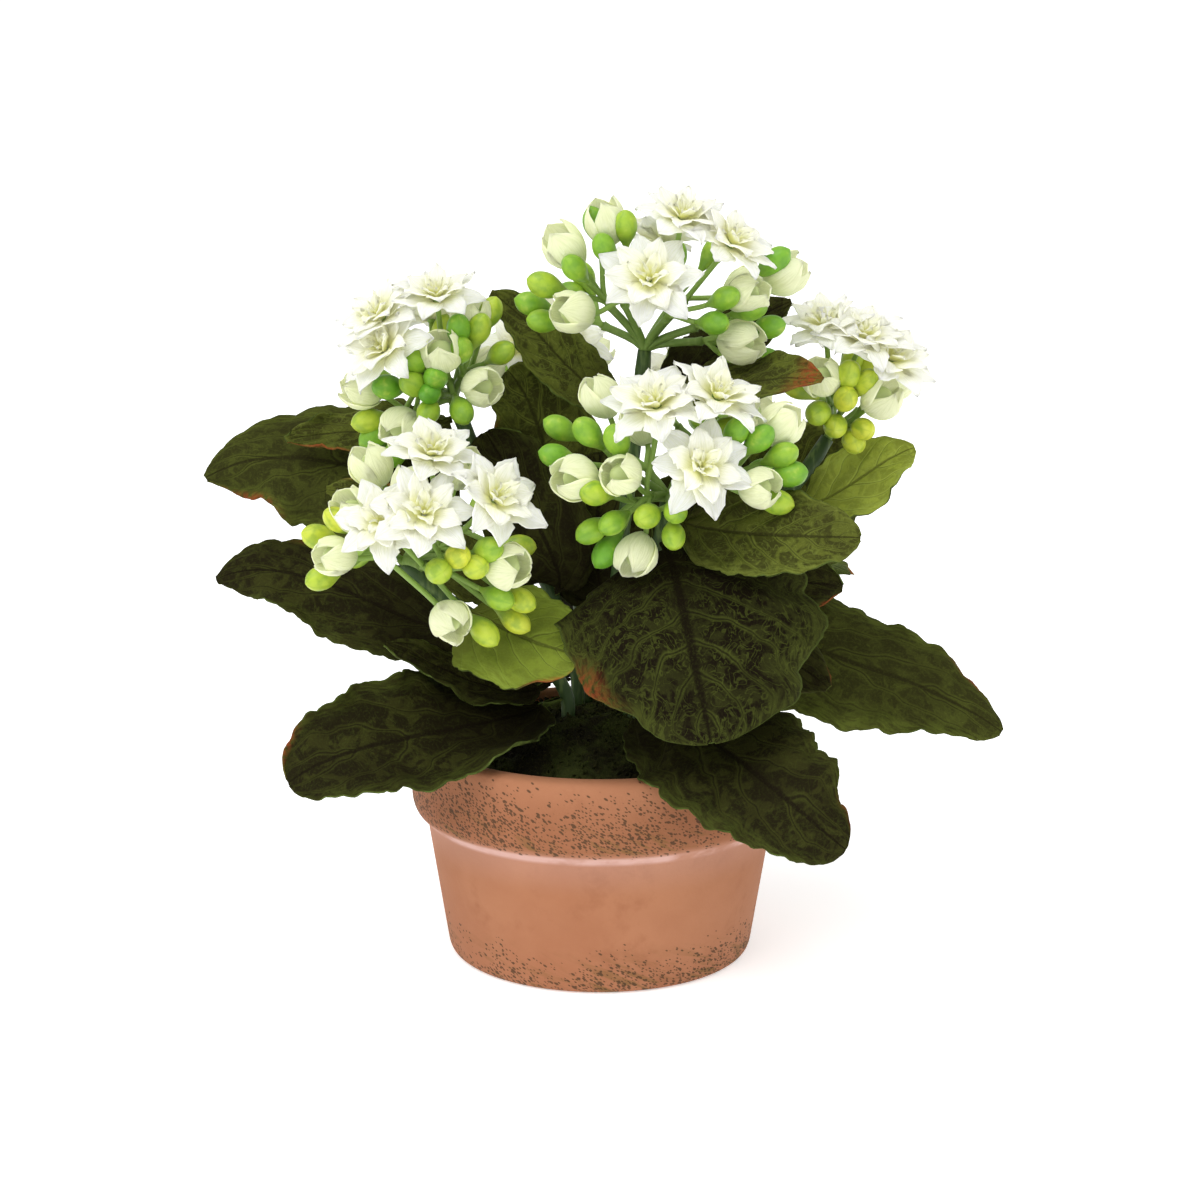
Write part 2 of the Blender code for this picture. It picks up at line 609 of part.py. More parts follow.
def build_head(name, head, star, draw, collection):
    """The green stem with its branches and buds, and the white flowers above it."""
    parts = bpy.data.collections.new("parts_" + name)
    petals = bpy.data.collections.new("petals_" + name)
    bpy.context.scene.collection.children.link(parts)
    bpy.context.scene.collection.children.link(petals)
    fork, items = head_items(head, draw)
    foot = Vector((head["foot"][0], head["foot"][1], STEM_FOOT_HEIGHT))
    bend = [stem_point(head, step / 5.0)[0] for step in range(6)]
    stem = tube("stem_" + name, [foot] + bend, STEM_RADIUS, 1, bpy.context.scene.collection)
    _, upright = stem_point(head, 1.0)

    aside = upright.orthogonal().normalized()
    ahead = upright.cross(aside)

    def bearing(item):
        offset = item["at"] - fork
        return math.atan2(offset.dot(aside), offset.dot(ahead))

    order = sorted(items, key=bearing)
    for group in [order[start:start + 4] for start in range(0, len(order), 4)]:
        group = sorted(group, key=lambda item: (item["at"] - fork).length, reverse=True)
        leader_end = stalk_end(group[0])
        for place, item in enumerate(group):
            add_stalk(fork.lerp(leader_end, BRANCHING[place]), item, parts)
    green = fuse(stem, parts, "stem_" + name)

    flowers = [item for item in items if item["kind"] == "open"]
    first = None
    for item in flowers:
        target = petals if first else bpy.context.scene.collection
        piece = make_object("flower", star, target)
        piece.matrix_world = aim(item["at"], item["axis"], item["spin"], item["size"])
        first = first or piece
    bpy.context.view_layer.update()
    white = fuse(first, petals, "flowers_" + name)
    bpy.data.collections.remove(parts)
    bpy.data.collections.remove(petals)
    green = max(loose_bodies(green), key=lambda mesh: len(mesh.vertices))
    stem_object = make_object("stem_" + name, green, collection)
    finish(stem_object, make_material("stem_" + name, *BUD_GREEN), 50.0)
    petal_white = make_material("petals_" + name, *PETAL_WHITE)
    for letter, mesh in zip("abcdef", loose_bodies(white)):
        flower_object = make_object("flowers_" + name + "_" + letter, mesh, collection)
        finish(flower_object, petal_white, 30.0)


def build_pot(collection):
    mesh = turned_mesh("pot", POT_INSIDE + POT_OUTSIDE, POT_SIDES)
    finish(make_object("pot", mesh, collection), make_material("clay", *CLAY), 35.0)


def build_moss(collection, cutters):
    mesh = turned_mesh("moss", MOSS_PROFILE, MOSS_SIDES)
    moss = make_object("moss", mesh, collection)
    for name, head in HEADS.items():
        bpy.ops.mesh.primitive_cylinder_add(
            vertices=8, radius=HOLE_RADIUS * MM, depth=60.0 * MM,
            location=(head["foot"][0] * MM, head["foot"][1] * MM, (STEM_FOOT_HEIGHT - FIT_GAP + 30.0) * MM))
        cutter = bpy.context.active_object
        cutter.name = "hole_" + name
        for owner in list(cutter.users_collection):
            owner.objects.unlink(cutter)
        cutters.objects.link(cutter)
        cutter.hide_render = True
        cutter.display_type = "WIRE"
    holes = moss.modifiers.new("stem_holes", "BOOLEAN")
    holes.operation = "DIFFERENCE"
    holes.operand_type = "COLLECTION"
    holes.collection = cutters
    holes.solver = "EXACT"
    finish(moss, make_material("moss", *MOSS), 40.0)


def main():
    clear_scene()
    plant = bpy.data.collections.new("potted_kalanchoe")
    cutters = bpy.data.collections.new("cutters")
    bpy.context.scene.collection.children.link(plant)
    bpy.context.scene.collection.children.link(cutters)
    build_pot(plant)
    build_moss(plant, cutters)
    star = star_sheet("star")
    draw = random.Random(SEED)
    for name, head in HEADS.items():
        build_head(name, head, star, draw, plant)
    for name, leaf in LEAVES.items():
        colour = LEAF_LIGHT if name in LIGHT_LEAVES else LEAF_DARK
        build_leaf("leaf_" + name, leaf, make_material("leaf_" + name, *colour), plant)
    bpy.data.meshes.remove(star)


main()
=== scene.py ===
"""Looks of a potted kalanchoe with double white flowers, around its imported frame.

Sizes are in millimetres unless a name says otherwise, and MM turns them into metres.
The camera looks along +Y at the side of the plant that the photograph shows.
"""

import math
import random

import bpy
from mathutils import Matrix, Vector, noise


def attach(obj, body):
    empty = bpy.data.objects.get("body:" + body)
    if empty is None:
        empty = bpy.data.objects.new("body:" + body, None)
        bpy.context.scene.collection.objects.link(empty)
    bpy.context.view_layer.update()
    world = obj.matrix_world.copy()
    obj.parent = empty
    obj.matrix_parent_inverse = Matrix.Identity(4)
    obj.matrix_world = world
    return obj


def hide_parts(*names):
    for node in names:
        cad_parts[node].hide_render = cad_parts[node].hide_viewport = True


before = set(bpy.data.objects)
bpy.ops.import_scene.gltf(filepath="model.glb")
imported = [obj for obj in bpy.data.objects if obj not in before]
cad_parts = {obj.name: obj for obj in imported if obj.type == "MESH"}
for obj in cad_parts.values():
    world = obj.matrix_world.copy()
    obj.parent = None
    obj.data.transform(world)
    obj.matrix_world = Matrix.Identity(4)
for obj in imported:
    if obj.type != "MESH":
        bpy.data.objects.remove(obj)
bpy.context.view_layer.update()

MM = 0.001
GOLDEN_ANGLE = math.pi * (3.0 - math.sqrt(5.0))
SEED = 11

# The photograph's view, as in the part: distance, tilt, height aimed at, and scale.
VIEW_DISTANCE = 820.0
VIEW_TILT = math.radians(12.5)
VIEW_AIM_HEIGHT = 113.5
VIEW_MIDDLE_PX = (600.5, 600.0)
MM_PER_PX = 0.3158
PHOTO_SIDE_PX = 1200
SENSOR_WIDTH = 36.0
VIEW_FORWARD = Vector((0.0, math.cos(VIEW_TILT), -math.sin(VIEW_TILT)))
VIEW_EYE = Vector((0.0, 0.0, VIEW_AIM_HEIGHT)) - VIEW_FORWARD * VIEW_DISTANCE

# Studio: floor radius in metres, its faint glow, the surround's strength at the horizon and
# above it and the heights between which it fades, and each lamp's place, softness and power.
FLOOR_RADIUS_M = 40.0
FLOOR_GLOW = 0.45
SKY_FADE = (0.05, 0.3)
SKY_STRENGTH = (1.1, 0.62)
LAMPS = {
    "key": ((-0.55, -0.65, 1.25), math.radians(60.0), 1.9),
    "fill": ((0.9, -0.6, 0.9), math.radians(90.0), 0.4),
}

# Pot and moss, as radius and height pairs.
POT_INSIDE = [(0.0, 8.0), (44.5, 8.0), (50.6, 44.0), (53.4, 69.8), (54.8, 71.0)]
POT_OUTSIDE = [
    (57.6, 71.0), (59.6, 69.8), (60.0, 51.0), (58.9, 47.4), (56.4, 45.0),
    (55.3, 43.8), (48.6, 1.8), (47.0, 0.0), (0.0, 0.0),
]
POT_SIDES = 144
POT_UNEVEN = 0.004
POT_CORNER = 2.2
MOSS_RADIUS = 51.0
MOSS_TOP = 78.5
MOSS_RIM = 61.0
MOSS_FOOT = 45.0
MOSS_TUFTS = 1500
TUFT_RADII = [0.5, 0.42, 0.1]
TUFT_HEIGHTS = (1.6, 3.6)

# Heights in metres at which marks on the pot start and end, each as the pair between
# which the mark fades: specks and painted shade on the rim, specks on the foot, smears,
# and the pale line with the faint band round it, both painted highlight under the rim.
RIM_FROM_M = (0.046, 0.0495)
RIM_TO_M = (0.0715, 0.056)
FOOT_M = (0.018, 0.0)
RIM_SMEAR_M = (0.062, 0.047)
FOOT_SMEAR_M = (0.012, 0.0)
RING_FROM_M = (0.0432, 0.0448)
RING_TO_M = (0.0474, 0.046)
HALO_FROM_M = (0.032, 0.0445)
HALO_TO_M = (0.049, 0.046)

# Specks of three sizes: cells in a metre, the share of cells that hold one, and where in
# its cell a speck's edge starts and ends.
SPECK_SIZES = ((1500.0, 0.8, 0.46, 0.30), (950.0, 0.6, 0.44, 0.30), (600.0, 0.2, 0.40, 0.26))

# Stems and stalks.
STEM_RADIUS = 2.2
STEM_FOOT_HEIGHT = 44.0
STEM_FREE_HEIGHT = 81.0
BRANCH_RADIUS = 1.25
PEDICEL_RADIUS = 0.85
STEM_SIDES, STEM_STEPS = 14, 18
BRANCH_SIDES, BRANCH_STEPS = 10, 6
PEDICEL_SIDES, PEDICEL_STEPS = 8, 8
FORK_RADII = [2.25, 2.35, 2.5, 2.1]
BRANCH_TINT = 0.6
GROUP_SIZE = 4
BRANCH_REACH = 0.48

# Sizes that a flower or bud may have, how often buds are shifted out of the petals, and
# what a flower takes up: a part of its radius, and a height in millimetres.
ITEM_SIZES = (0.92, 1.06)
SETTLE_ROUNDS = 40
BLOOM_SPREAD = 0.86
BLOOM_HEIGHT = 6.5

# Leaves.
LEAF_THICKNESS = 0.5
LEAF_STALK_HALF = 1.5
LEAF_JOIN_GAP = 0.6
LEAF_SPREAD = 0.45
LEAF_STALK = 0.08
LEAF_BELLY = 0.82
LEAF_BLUNT = 0.6
LEAF_CUP = 1
LEAF_WAVE = 1.0
LEAF_COLUMNS = 22
LEAF_ROW = 0.95
TOOTH_PITCH = 6.0
TOOTH_DEPTH = 1.1
FRINGE_DEPTH = 0.4
LEAF_UNEVEN = 0.2
QUILT = 1.0
CRINKLE = 0.8
FLUTTER = 3.0

# Flowers and buds.
BLOOM_RADIUS = 16.0
PETAL_THICKNESS = 0.28
BUD_LENGTH = 10.5
BUD_RADIUS = 3.8
BUD_NECK = 8.0
CUP_LENGTH = 13.5
CUP_RADIUS = 6.2
CUP_PETALS = 4
CUP_HALF_ANGLE = math.radians(57.0)
CUP_FIRST_CLOSING = (0.74, 0.82)
CUP_CLOSING = (0.82, 0.9)
CUP_CORE = 0.7
PETAL_WIDEST = 0.48
PETAL_FOOT = 0.7
CUP_FOOT = 0.6
CALYX_RADIUS = {"open": 1.7, "cup": 2.5}
BUD_SEAMS = 4
BUD_SIDES = 24

# Layers of a double flower: petals, length, width, foot radius, foot height, and the
# angle above level at which a petal starts and ends.
FLOWER_LAYERS = [
    (7, 16.0, 8.8, 1.2, 0.0, 26.0, -4.0),
    (6, 12.6, 7.8, 1.0, 0.9, 42.0, 14.0),
    (4, 8.4, 4.6, 0.8, 1.5, 62.0, 42.0),
    (5, 6.4, 1.2, 0.4, 1.8, 84.0, 40.0),
]

# Each flowering stem: foot on the moss, branching point and outline of its head in
# photograph pixels with its depth, and how many flowers and buds its far side has.
# "open" are double flowers, "cup" are opening buds and "bud" closed ones, in pixels.
# "yellow" is how far the closed buds go from green to yellow, from least to most.
HEADS = {
    "top": dict(
        foot=(3, 2), fork=(645, 350), fork_depth=4, centre=(662, 292), reach=(132, 92), depth=2,
        bulge=27, yellow=(0.1, 0.6), open=[(650, 283), (682, 222), (730, 246)],
        cup=[(565, 247), (573, 312), (742, 342), (752, 290), (786, 275), (606, 222)],
        bud=[(595, 223), (627, 226), (608, 250), (575, 268), (545, 285), (532, 304), (543, 321), (765, 257),
             (726, 298), (752, 308), (715, 323), (770, 327), (742, 364), (767, 359)],
        behind=(1, 1, 4)),
    "front_right": dict(
        foot=(9, -11), fork=(668, 500), fork_depth=-31, centre=(676, 478), reach=(132, 100),
        depth=-33, bulge=25, yellow=(0.0, 0.55),
        open=[(657, 410), (716, 402), (700, 470)],
        cup=[(605, 398), (576, 478), (622, 475), (760, 488), (781, 425), (637, 555)],
        bud=[(560, 428), (588, 432), (617, 438), (556, 456), (595, 493), (592, 531), (613, 523), (648, 516),
             (676, 512), (674, 536), (607, 552), (734, 430), (762, 435), (783, 455), (790, 474), (777, 502)],
        behind=(0, 1, 3)),
    "front_left": dict(
        foot=(-10, -8), fork=(405, 562), fork_depth=-26, centre=(438, 556), reach=(125, 116),
        depth=-29, bulge=33, yellow=(0.3, 1.0),
        open=[(424, 516), (493, 502), (385, 525), (432, 458)],
        cup=[(335, 556), (350, 507), (508, 566), (451, 620), (372, 466), (467, 452)],
        bud=[(319, 537), (338, 520), (322, 578), (439, 571), (476, 567), (458, 556), (500, 598), (521, 600),
             (516, 621), (485, 632), (489, 550)],
        behind=(0, 1, 3)),
    "left_back": dict(
        foot=(-7, 6), fork=(455, 400), fork_depth=12, centre=(430, 375), reach=(84, 104),
        depth=12, bulge=22, yellow=(0.0, 0.7),
        open=[(438, 301), (383, 320), (388, 352)],
        cup=[(438, 349), (361, 389), (401, 427), (482, 387), (470, 304)],
        bud=[(479, 329), (462, 350), (436, 378), (415, 361), (388, 387), (414, 384), (430, 393), (459, 329),
             (491, 312), (429, 412), (462, 411), (369, 421), (372, 450), (396, 453), (375, 436), (502, 353)],
        behind=(1, 1, 3)),
    "right_back": dict(
        foot=(12, 3), fork=(828, 438), fork_depth=16, centre=(848, 385), reach=(76, 72),
        depth=15, bulge=20, yellow=(0.55, 1.0),
        open=[(826, 330), (862, 342), (889, 362)],
        cup=[(822, 378), (882, 398)],
        bud=[(849, 375), (846, 399), (819, 413), (836, 426), (863, 429), (867, 382), (854, 440)],
        behind=(1, 1, 3)),
    "back_left": dict(
        foot=(-4, 14), fork=(540, 402), fork_depth=48, centre=(544, 358), reach=(80, 70),
        depth=51, bulge=19, yellow=(0.0, 0.6),
        open=[(524, 350), (562, 348)],
        cup=[(580, 372)],
        bud=[(500, 380), (545, 388), (512, 392)],
        behind=(1, 1, 5)),
    "back_right": dict(
        foot=(8, 13), fork=(700, 452), fork_depth=50, centre=(700, 410), reach=(90, 74),
        depth=52, bulge=22, yellow=(0.0, 0.6),
        open=[(676, 380), (722, 384)],
        cup=[(752, 410)],
        bud=[(650, 404), (700, 420), (724, 428)],
        behind=(1, 1, 5)),
}

# Leaves, as in the part. look: which leaf cloth it is cut from; red: places on its edge
# that are dyed red, as share of its length, side and spread; curl: an edge rolled up, as
# side, share of its length, spread and height in millimetres.
LEAVES = {
    "low_left": dict(
        stem="front_left", at=0.06, tip=(289, 783), depth=-57, bend=(-4, -15, 10),
        face=(0, -0.74, 0.67), face_base=(0, -0.4, 0.9), width=45, cup=3, wave=2.0, belly=0.68,
        blunt=0.42, curl=(-1, 0.3, 0.2, 9), look="dark", red=[(0.93, 1, 0.05)]),
    "low_right": dict(
        stem="front_right", at=0.055, tip=(846, 850), depth=-86, bend=(-5, -22.5, 12),
        face=(0.1, -0.86, 0.5), face_base=(0, -0.4, 0.9), width=48, cup=-2, wave=1.6, belly=0.68,
        blunt=0.42, look="dark", red=[(0.96, -1, 0.06)]),
    "front": dict(
        stem="front_right", at=0.84, tip=(712, 743), depth=-86, bend=(0, -1, 1),
        face=(0.06, -0.88, 0.47), width=80, cup=-7, wave=1.5, belly=0.68, lop=-0.07, look="veined",
        red=[(0.66, 1, 0.07)]),
    "front_under": dict(
        stem="front_right", at=0.42, tip=(829, 688), depth=-36, bend=(0, 4, 7), face=(0.1, -0.85, 0.5),
        width=34, cup=-2, wave=1.5, look="dark", red=[(0.97, -1, 0.03)]),
    "right": dict(
        stem="right_back", at=0.42, tip=(1002, 732), depth=-20, bend=(0, -3, 8),
        face=(0.1, -0.75, 0.65), width=50, cup=-3, wave=2.0, belly=0.52, blunt=0.5, look="mid",
        red=[(0.86, -1, 0.05)]),
    "light": dict(
        stem="front_left", at=0.7, tip=(580, 655), depth=-58, bend=(-2, 1, -2), face=(0.1, -0.85, 0.5),
        width=37, cup=-2, belly=0.75, blunt=0.42, look="light", red=[(0.9, 1, 0.09)]),
    "left_upper": dict(
        stem="left_back", at=0.8, tip=(206, 478), depth=20, bend=(0, 8, 11), face=(0, -0.75, 0.66),
        width=56, cup=-3, wave=1.6, belly=0.58, look="mid", red=[(0.85, -1, 0.1)]),
    "left_middle": dict(
        stem="front_left", at=0.62, tip=(217, 580), depth=-8, bend=(0, -2, 15), face=(0, -0.85, 0.53),
        width=32, cup=-2, wave=3.0, look="dark", red=[(0.66, 1, 0.06)]),
    "left_small": dict(
        stem="left_back", at=0.95, tip=(286, 440), depth=13, bend=(0, 9, 0), face=(0, -0.7, 0.7),
        width=20, wave=0.8, look="olive", red=[(0.8, -1, 0.2)]),
    "left_inner": dict(
        stem="left_back", at=0.42, tip=(327, 490), depth=-2.5, bend=(0, -4, 8), face=(0, -0.95, 0.3),
        width=23, wave=0.8, look="olive", red=[(0.8, 1, 0.1)]),
    "left_under": dict(
        stem="front_left", at=0.2, tip=(386, 644), depth=-23, bend=(0, -8, 1), face=(0, -0.5, 0.85),
        width=19, wave=0.8, look="dark"),
    "middle": dict(
        stem="back_left", at=0.55, tip=(508, 370), depth=16, bend=(6, 1, 2), face=(0.1, -0.95, 0.3),
        width=38, blunt=0.42, look="olive", red=[(0.7, -1, 0.1)]),
    "inner_left": dict(
        stem="left_back", at=0.36, tip=(486, 432), depth=6, bend=(0, 3, 2), face=(0.1, -0.95, 0.3),
        width=34, cup=-1, wave=1.2, blunt=0.45, look="dark"),
    "inner_right": dict(
        stem="back_right", at=0.35, tip=(742, 452), depth=30, bend=(0, 2, 2), face=(0, -0.95, 0.3),
        width=44, cup=-1, wave=1.2, blunt=0.45, look="dark"),
    "inner_middle": dict(
        stem="top", at=0.3, tip=(600, 452), depth=14, bend=(0, 2, 1), face=(0, -0.95, 0.3), width=36,
        cup=-1, wave=1.2, blunt=0.45, look="dark"),
    "inner_corner": dict(
        stem="back_right", at=0.72, tip=(872, 446), depth=36, bend=(0, 2, 1), face=(0, -0.95, 0.3),
        width=40, cup=-1, wave=1.2, blunt=0.45, look="olive"),
    "top_left": dict(
        stem="top", at=0.84, tip=(491, 293), depth=16, bend=(0, 3, 3), face=(0, -0.8, 0.6), width=22,
        look="olive"),
    "top_right": dict(
        stem="top", at=0.9, tip=(823, 380), depth=-34, bend=(0, -3, 3), face=(0, -0.5, 0.86), width=32,
        look="olive", red=[(0.93, 0, 0.07)]),
    "right_upper": dict(
        stem="right_back", at=0.8, tip=(915, 448), depth=4, bend=(0, -5, 3), face=(0, -0.8, 0.6),
        width=24, blunt=0.5, look="pale"),
    "right_dark": dict(
        stem="right_back", at=0.78, tip=(890, 482), depth=18, bend=(0, 6, -1), face=(0, -0.8, 0.6),
        width=17, look="dark"),
    "right_middle": dict(
        stem="front_right", at=0.93, tip=(861, 538), depth=-60, bend=(0, -4, 0), face=(0, -0.85, 0.5),
        width=29, blunt=0.42, look="olive"),
    "right_corner": dict(
        stem="right_back", at=0.54, tip=(843, 588), depth=2, bend=(0, -3, 2), face=(0, -0.8, 0.6),
        width=26, look="dark", red=[(0.9, 1, 0.1)]),
    "top_behind": dict(
        stem="top", at=0.9, tip=(792, 302), depth=34, bend=(0, 5, 3), face=(0, -0.9, 0.4), width=22,
        look="dark"),
    "back_low_left": dict(
        stem="left_back", at=0.05, tip_mm=(-70, 70, 66), bend=(0, 0, 12), face=(0, 0, 1), width=46,
        cup=-3, wave=2.0, look="dark", red=[(0.9, 1, 0.05)]),
    "back_low_right": dict(
        stem="right_back", at=0.05, tip_mm=(78, 68, 62), bend=(0, 3, 14), face=(0, 0, 1), width=46,
        cup=-3, wave=2.0, look="dark", red=[(0.9, 1, 0.05)]),
    "back_middle": dict(
        stem="back_left", at=0.3, tip_mm=(6, 104, 92), bend=(0, 0, 12), face=(0, 0, 1), width=46,
        cup=-3, wave=2.0, look="dark", red=[(0.97, 1, 0.04)]),
    "back_left_leaf": dict(
        stem="back_left", at=0.6, tip_mm=(-78, 66, 128), bend=(0, 0, 8), face=(0, 0.2, 1), width=38,
        cup=-2, wave=1.6, look="mid"),
    "back_right_leaf": dict(
        stem="back_right", at=0.6, tip_mm=(86, 66, 108), bend=(0, 0, 8), face=(0, 0.2, 1), width=40,
        cup=-2, wave=1.6, look="olive", red=[(0.95, 1, 0.06)]),
}


def linear(red, green, blue):
    """Colour given as 0 to 255 on a screen, as the light value that a shader takes."""
    def channel(value):
        value = value / 255.0
        return value / 12.92 if value <= 0.04045 else ((value + 0.055) / 1.055) ** 2.4
    return (channel(red), channel(green), channel(blue), 1.0)


# Leaf cloths. ground, blotch and vein are colours, and the blotch colour also paints shade
# into the vein creases; blotches, lines and net say how strong the dark blotches, the veins
# and the marbling are; veins is their number on a side, sweep how far they run towards the
# tip, and relief how deep the cloth is crimped.
LEAF_LOOKS = {
    "dark": dict(ground=linear(48, 48, 20), blotch_and_shade=linear(25, 20, 11), vein=linear(68, 76, 30),
                 blotches=0.8, lines=0.16, net=0.25, veins=4.0, sweep=0.6, relief=0.6),
    "mid": dict(ground=linear(62, 66, 26), blotch_and_shade=linear(38, 36, 16), vein=linear(88, 98, 38),
                blotches=0.7, lines=0.16, net=0.2, veins=4.0, sweep=0.6, relief=0.5),
    "veined": dict(ground=linear(42, 43, 18), blotch_and_shade=linear(22, 17, 9), vein=linear(72, 79, 32),
                   blotches=1.0, lines=0.6, net=0.75, veins=7.0, sweep=0.34, relief=1.0),
    "olive": dict(ground=linear(86, 92, 36), blotch_and_shade=linear(50, 50, 22), vein=linear(112, 122, 54),
                  blotches=0.85, lines=0.4, net=0.5, veins=7.0, sweep=0.34, relief=0.7),
    "light": dict(ground=linear(112, 126, 44), blotch_and_shade=linear(80, 86, 34), vein=linear(132, 150, 60),
                  blotches=0.35, lines=0.3, net=0.1, veins=6.0, sweep=0.4, relief=0.45),
    "pale": dict(ground=linear(144, 156, 60), blotch_and_shade=linear(92, 98, 38), vein=linear(160, 176, 82),
                 blotches=0.45, lines=0.4, net=0.2, veins=6.0, sweep=0.4, relief=0.5),
}
LEAF_UNDER = linear(78, 90, 40)
LEAF_UNDER_DARK = linear(46, 52, 24)
LEAF_UNDER_VEIN = linear(112, 130, 66)
LEAF_RED = linear(150, 62, 38)
PETAL_WHITE = linear(251, 251, 241)
PETAL_SHADE = linear(222, 226, 186)
PETAL_CREAM = linear(238, 238, 138)
# Strength of a faint painted glow on the petals, in place of light shining through the cloth.
PETAL_PAINTED_GLOW = 0.045
CUP_CREAM = linear(242, 248, 186)
CUP_GREEN = linear(190, 210, 132)
BUD_GREEN = linear(98, 162, 42)
BUD_YELLOW = linear(204, 210, 66)
BUD_DEEP = linear(76, 132, 40)
BUD_PALE = linear(206, 214, 92)
STALK_GREEN = linear(136, 166, 80)
STALK_PALE = linear(150, 172, 96)
STEM_DARK = linear(52, 74, 34)
CLAY = linear(158, 104, 73)
CLAY_PALE = linear(168, 114, 82)
# Deeper clay, used both in random patches and as painted shade on the rim under the leaves.
CLAY_DEEP_AND_SHADE = linear(132, 80, 50)
CLAY_OCHRE = linear(112, 84, 44)
CLAY_SPECK = linear(62, 46, 28)
# Pale pink of the painted highlight along the ledge under the rim.
CLAY_PAINTED_HIGHLIGHT = linear(212, 176, 168)
MOSS_DARK = linear(30, 28, 14)
MOSS_GREEN = linear(52, 58, 24)
MOSS_STRAW = linear(74, 70, 34)
FLOOR_WHITE = linear(250, 250, 250)


class Shade:
    """A material's nodes, written one short call at a time."""

    def __init__(self, name):
        self.material = bpy.data.materials.new(name)
        self.material.use_nodes = True
        self.tree = self.material.node_tree
        self.shader = self.tree.nodes["Principled BSDF"]

    def node(self, kind, inputs=None, **settings):
        """A new node with its settings, and a value or a link for each input."""
        made = self.tree.nodes.new(kind)
        for key, value in settings.items():
            setattr(made, key, value)
        for key, value in (inputs or {}).items():
            self.feed(made.inputs[key], value)
        return made

    def feed(self, socket, value):
        if isinstance(value, bpy.types.NodeSocket):
            self.tree.links.new(value, socket)
        else:
            socket.default_value = value

    def set(self, name, value):
        self.feed(self.shader.inputs[name], value)

    def surface(self, colour, roughness, specular):
        self.set("Base Color", colour)
        self.set("Roughness", roughness)
        self.set("Specular IOR Level", specular)

    def scatter(self, weight, radius, scale):
        """Lets light through, by up to a distance in metres."""
        self.set("Subsurface Weight", weight)
        self.set("Subsurface Radius", radius)
        self.set("Subsurface Scale", scale)

    def attribute(self, name, output="Vector"):
        return self.node("ShaderNodeAttribute", attribute_name=name).outputs[output]

    def position(self):
        return self.node("ShaderNodeTexCoord").outputs["Object"]

    def split(self, vector):
        return self.node("ShaderNodeSeparateXYZ", {0: vector}).outputs

    def join(self, x, y, z):
        return self.node("ShaderNodeCombineXYZ", {0: x, 1: y, 2: z}).outputs[0]

    def scaled(self, vector, scale):
        return self.node("ShaderNodeVectorMath", {0: vector, 1: scale}, operation="MULTIPLY").outputs[0]

    def math(self, operation, first, second=0.0, clamp=False):
        made = self.node("ShaderNodeMath", {0: first, 1: second}, operation=operation, use_clamp=clamp)
        return made.outputs[0]

    def times(self, first, second):
        return self.math("MULTIPLY", first, second)

    def plus(self, first, second, clamp=False):
        return self.math("ADD", first, second, clamp)

    def minus(self, first, second):
        return self.math("SUBTRACT", first, second)

    def rise(self, value, low, high):
        """Smooth step from 0 at low to 1 at high; low may lie above high."""
        made = self.node("ShaderNodeMapRange", {0: value, 1: low, 2: high}, interpolation_type="SMOOTHSTEP")
        return made.outputs[0]

    def band(self, value, start, end):
        """1 between two places, each given as the pair of values between which it fades."""
        return self.times(self.rise(value, *start), self.rise(value, *end))

    def mix(self, factor, first, second, blend="MIX"):
        """The first colour turning into the second; the node takes colours at inputs 6 and 7."""
        made = self.node("ShaderNodeMix", {0: factor, 6: first, 7: second},
                         data_type="RGBA", blend_type=blend)
        return made.outputs[2]

    def layer(self, colour, over, where, strength=None):
        """The colour with another laid over it where a mask says, at up to that strength."""
        return self.mix(where if strength is None else self.times(where, strength), colour, over)

    def noise(self, vector, scale, detail=3.0, rough=0.55, distortion=0.0):
        made = self.node("ShaderNodeTexNoise", {"Vector": vector, "Scale": scale, "Detail": detail,
                                                "Roughness": rough, "Distortion": distortion})
        return made.outputs[0]

    def cells(self, vector, scale, output):
        return self.node("ShaderNodeTexVoronoi", {"Vector": vector, "Scale": scale}).outputs[output]

    def bump(self, height, strength, distance):
        made = self.node("ShaderNodeBump", {"Height": height, "Strength": strength, "Distance": distance})
        self.set("Normal", made.outputs[0])


def side_veins(shade, share, aside, sweep, veins):
    """Counts the side veins from a leaf's base on, each running towards the tip."""
    return shade.times(shade.minus(share, shade.times(shade.math("POWER", aside, 1.15), sweep)), veins)


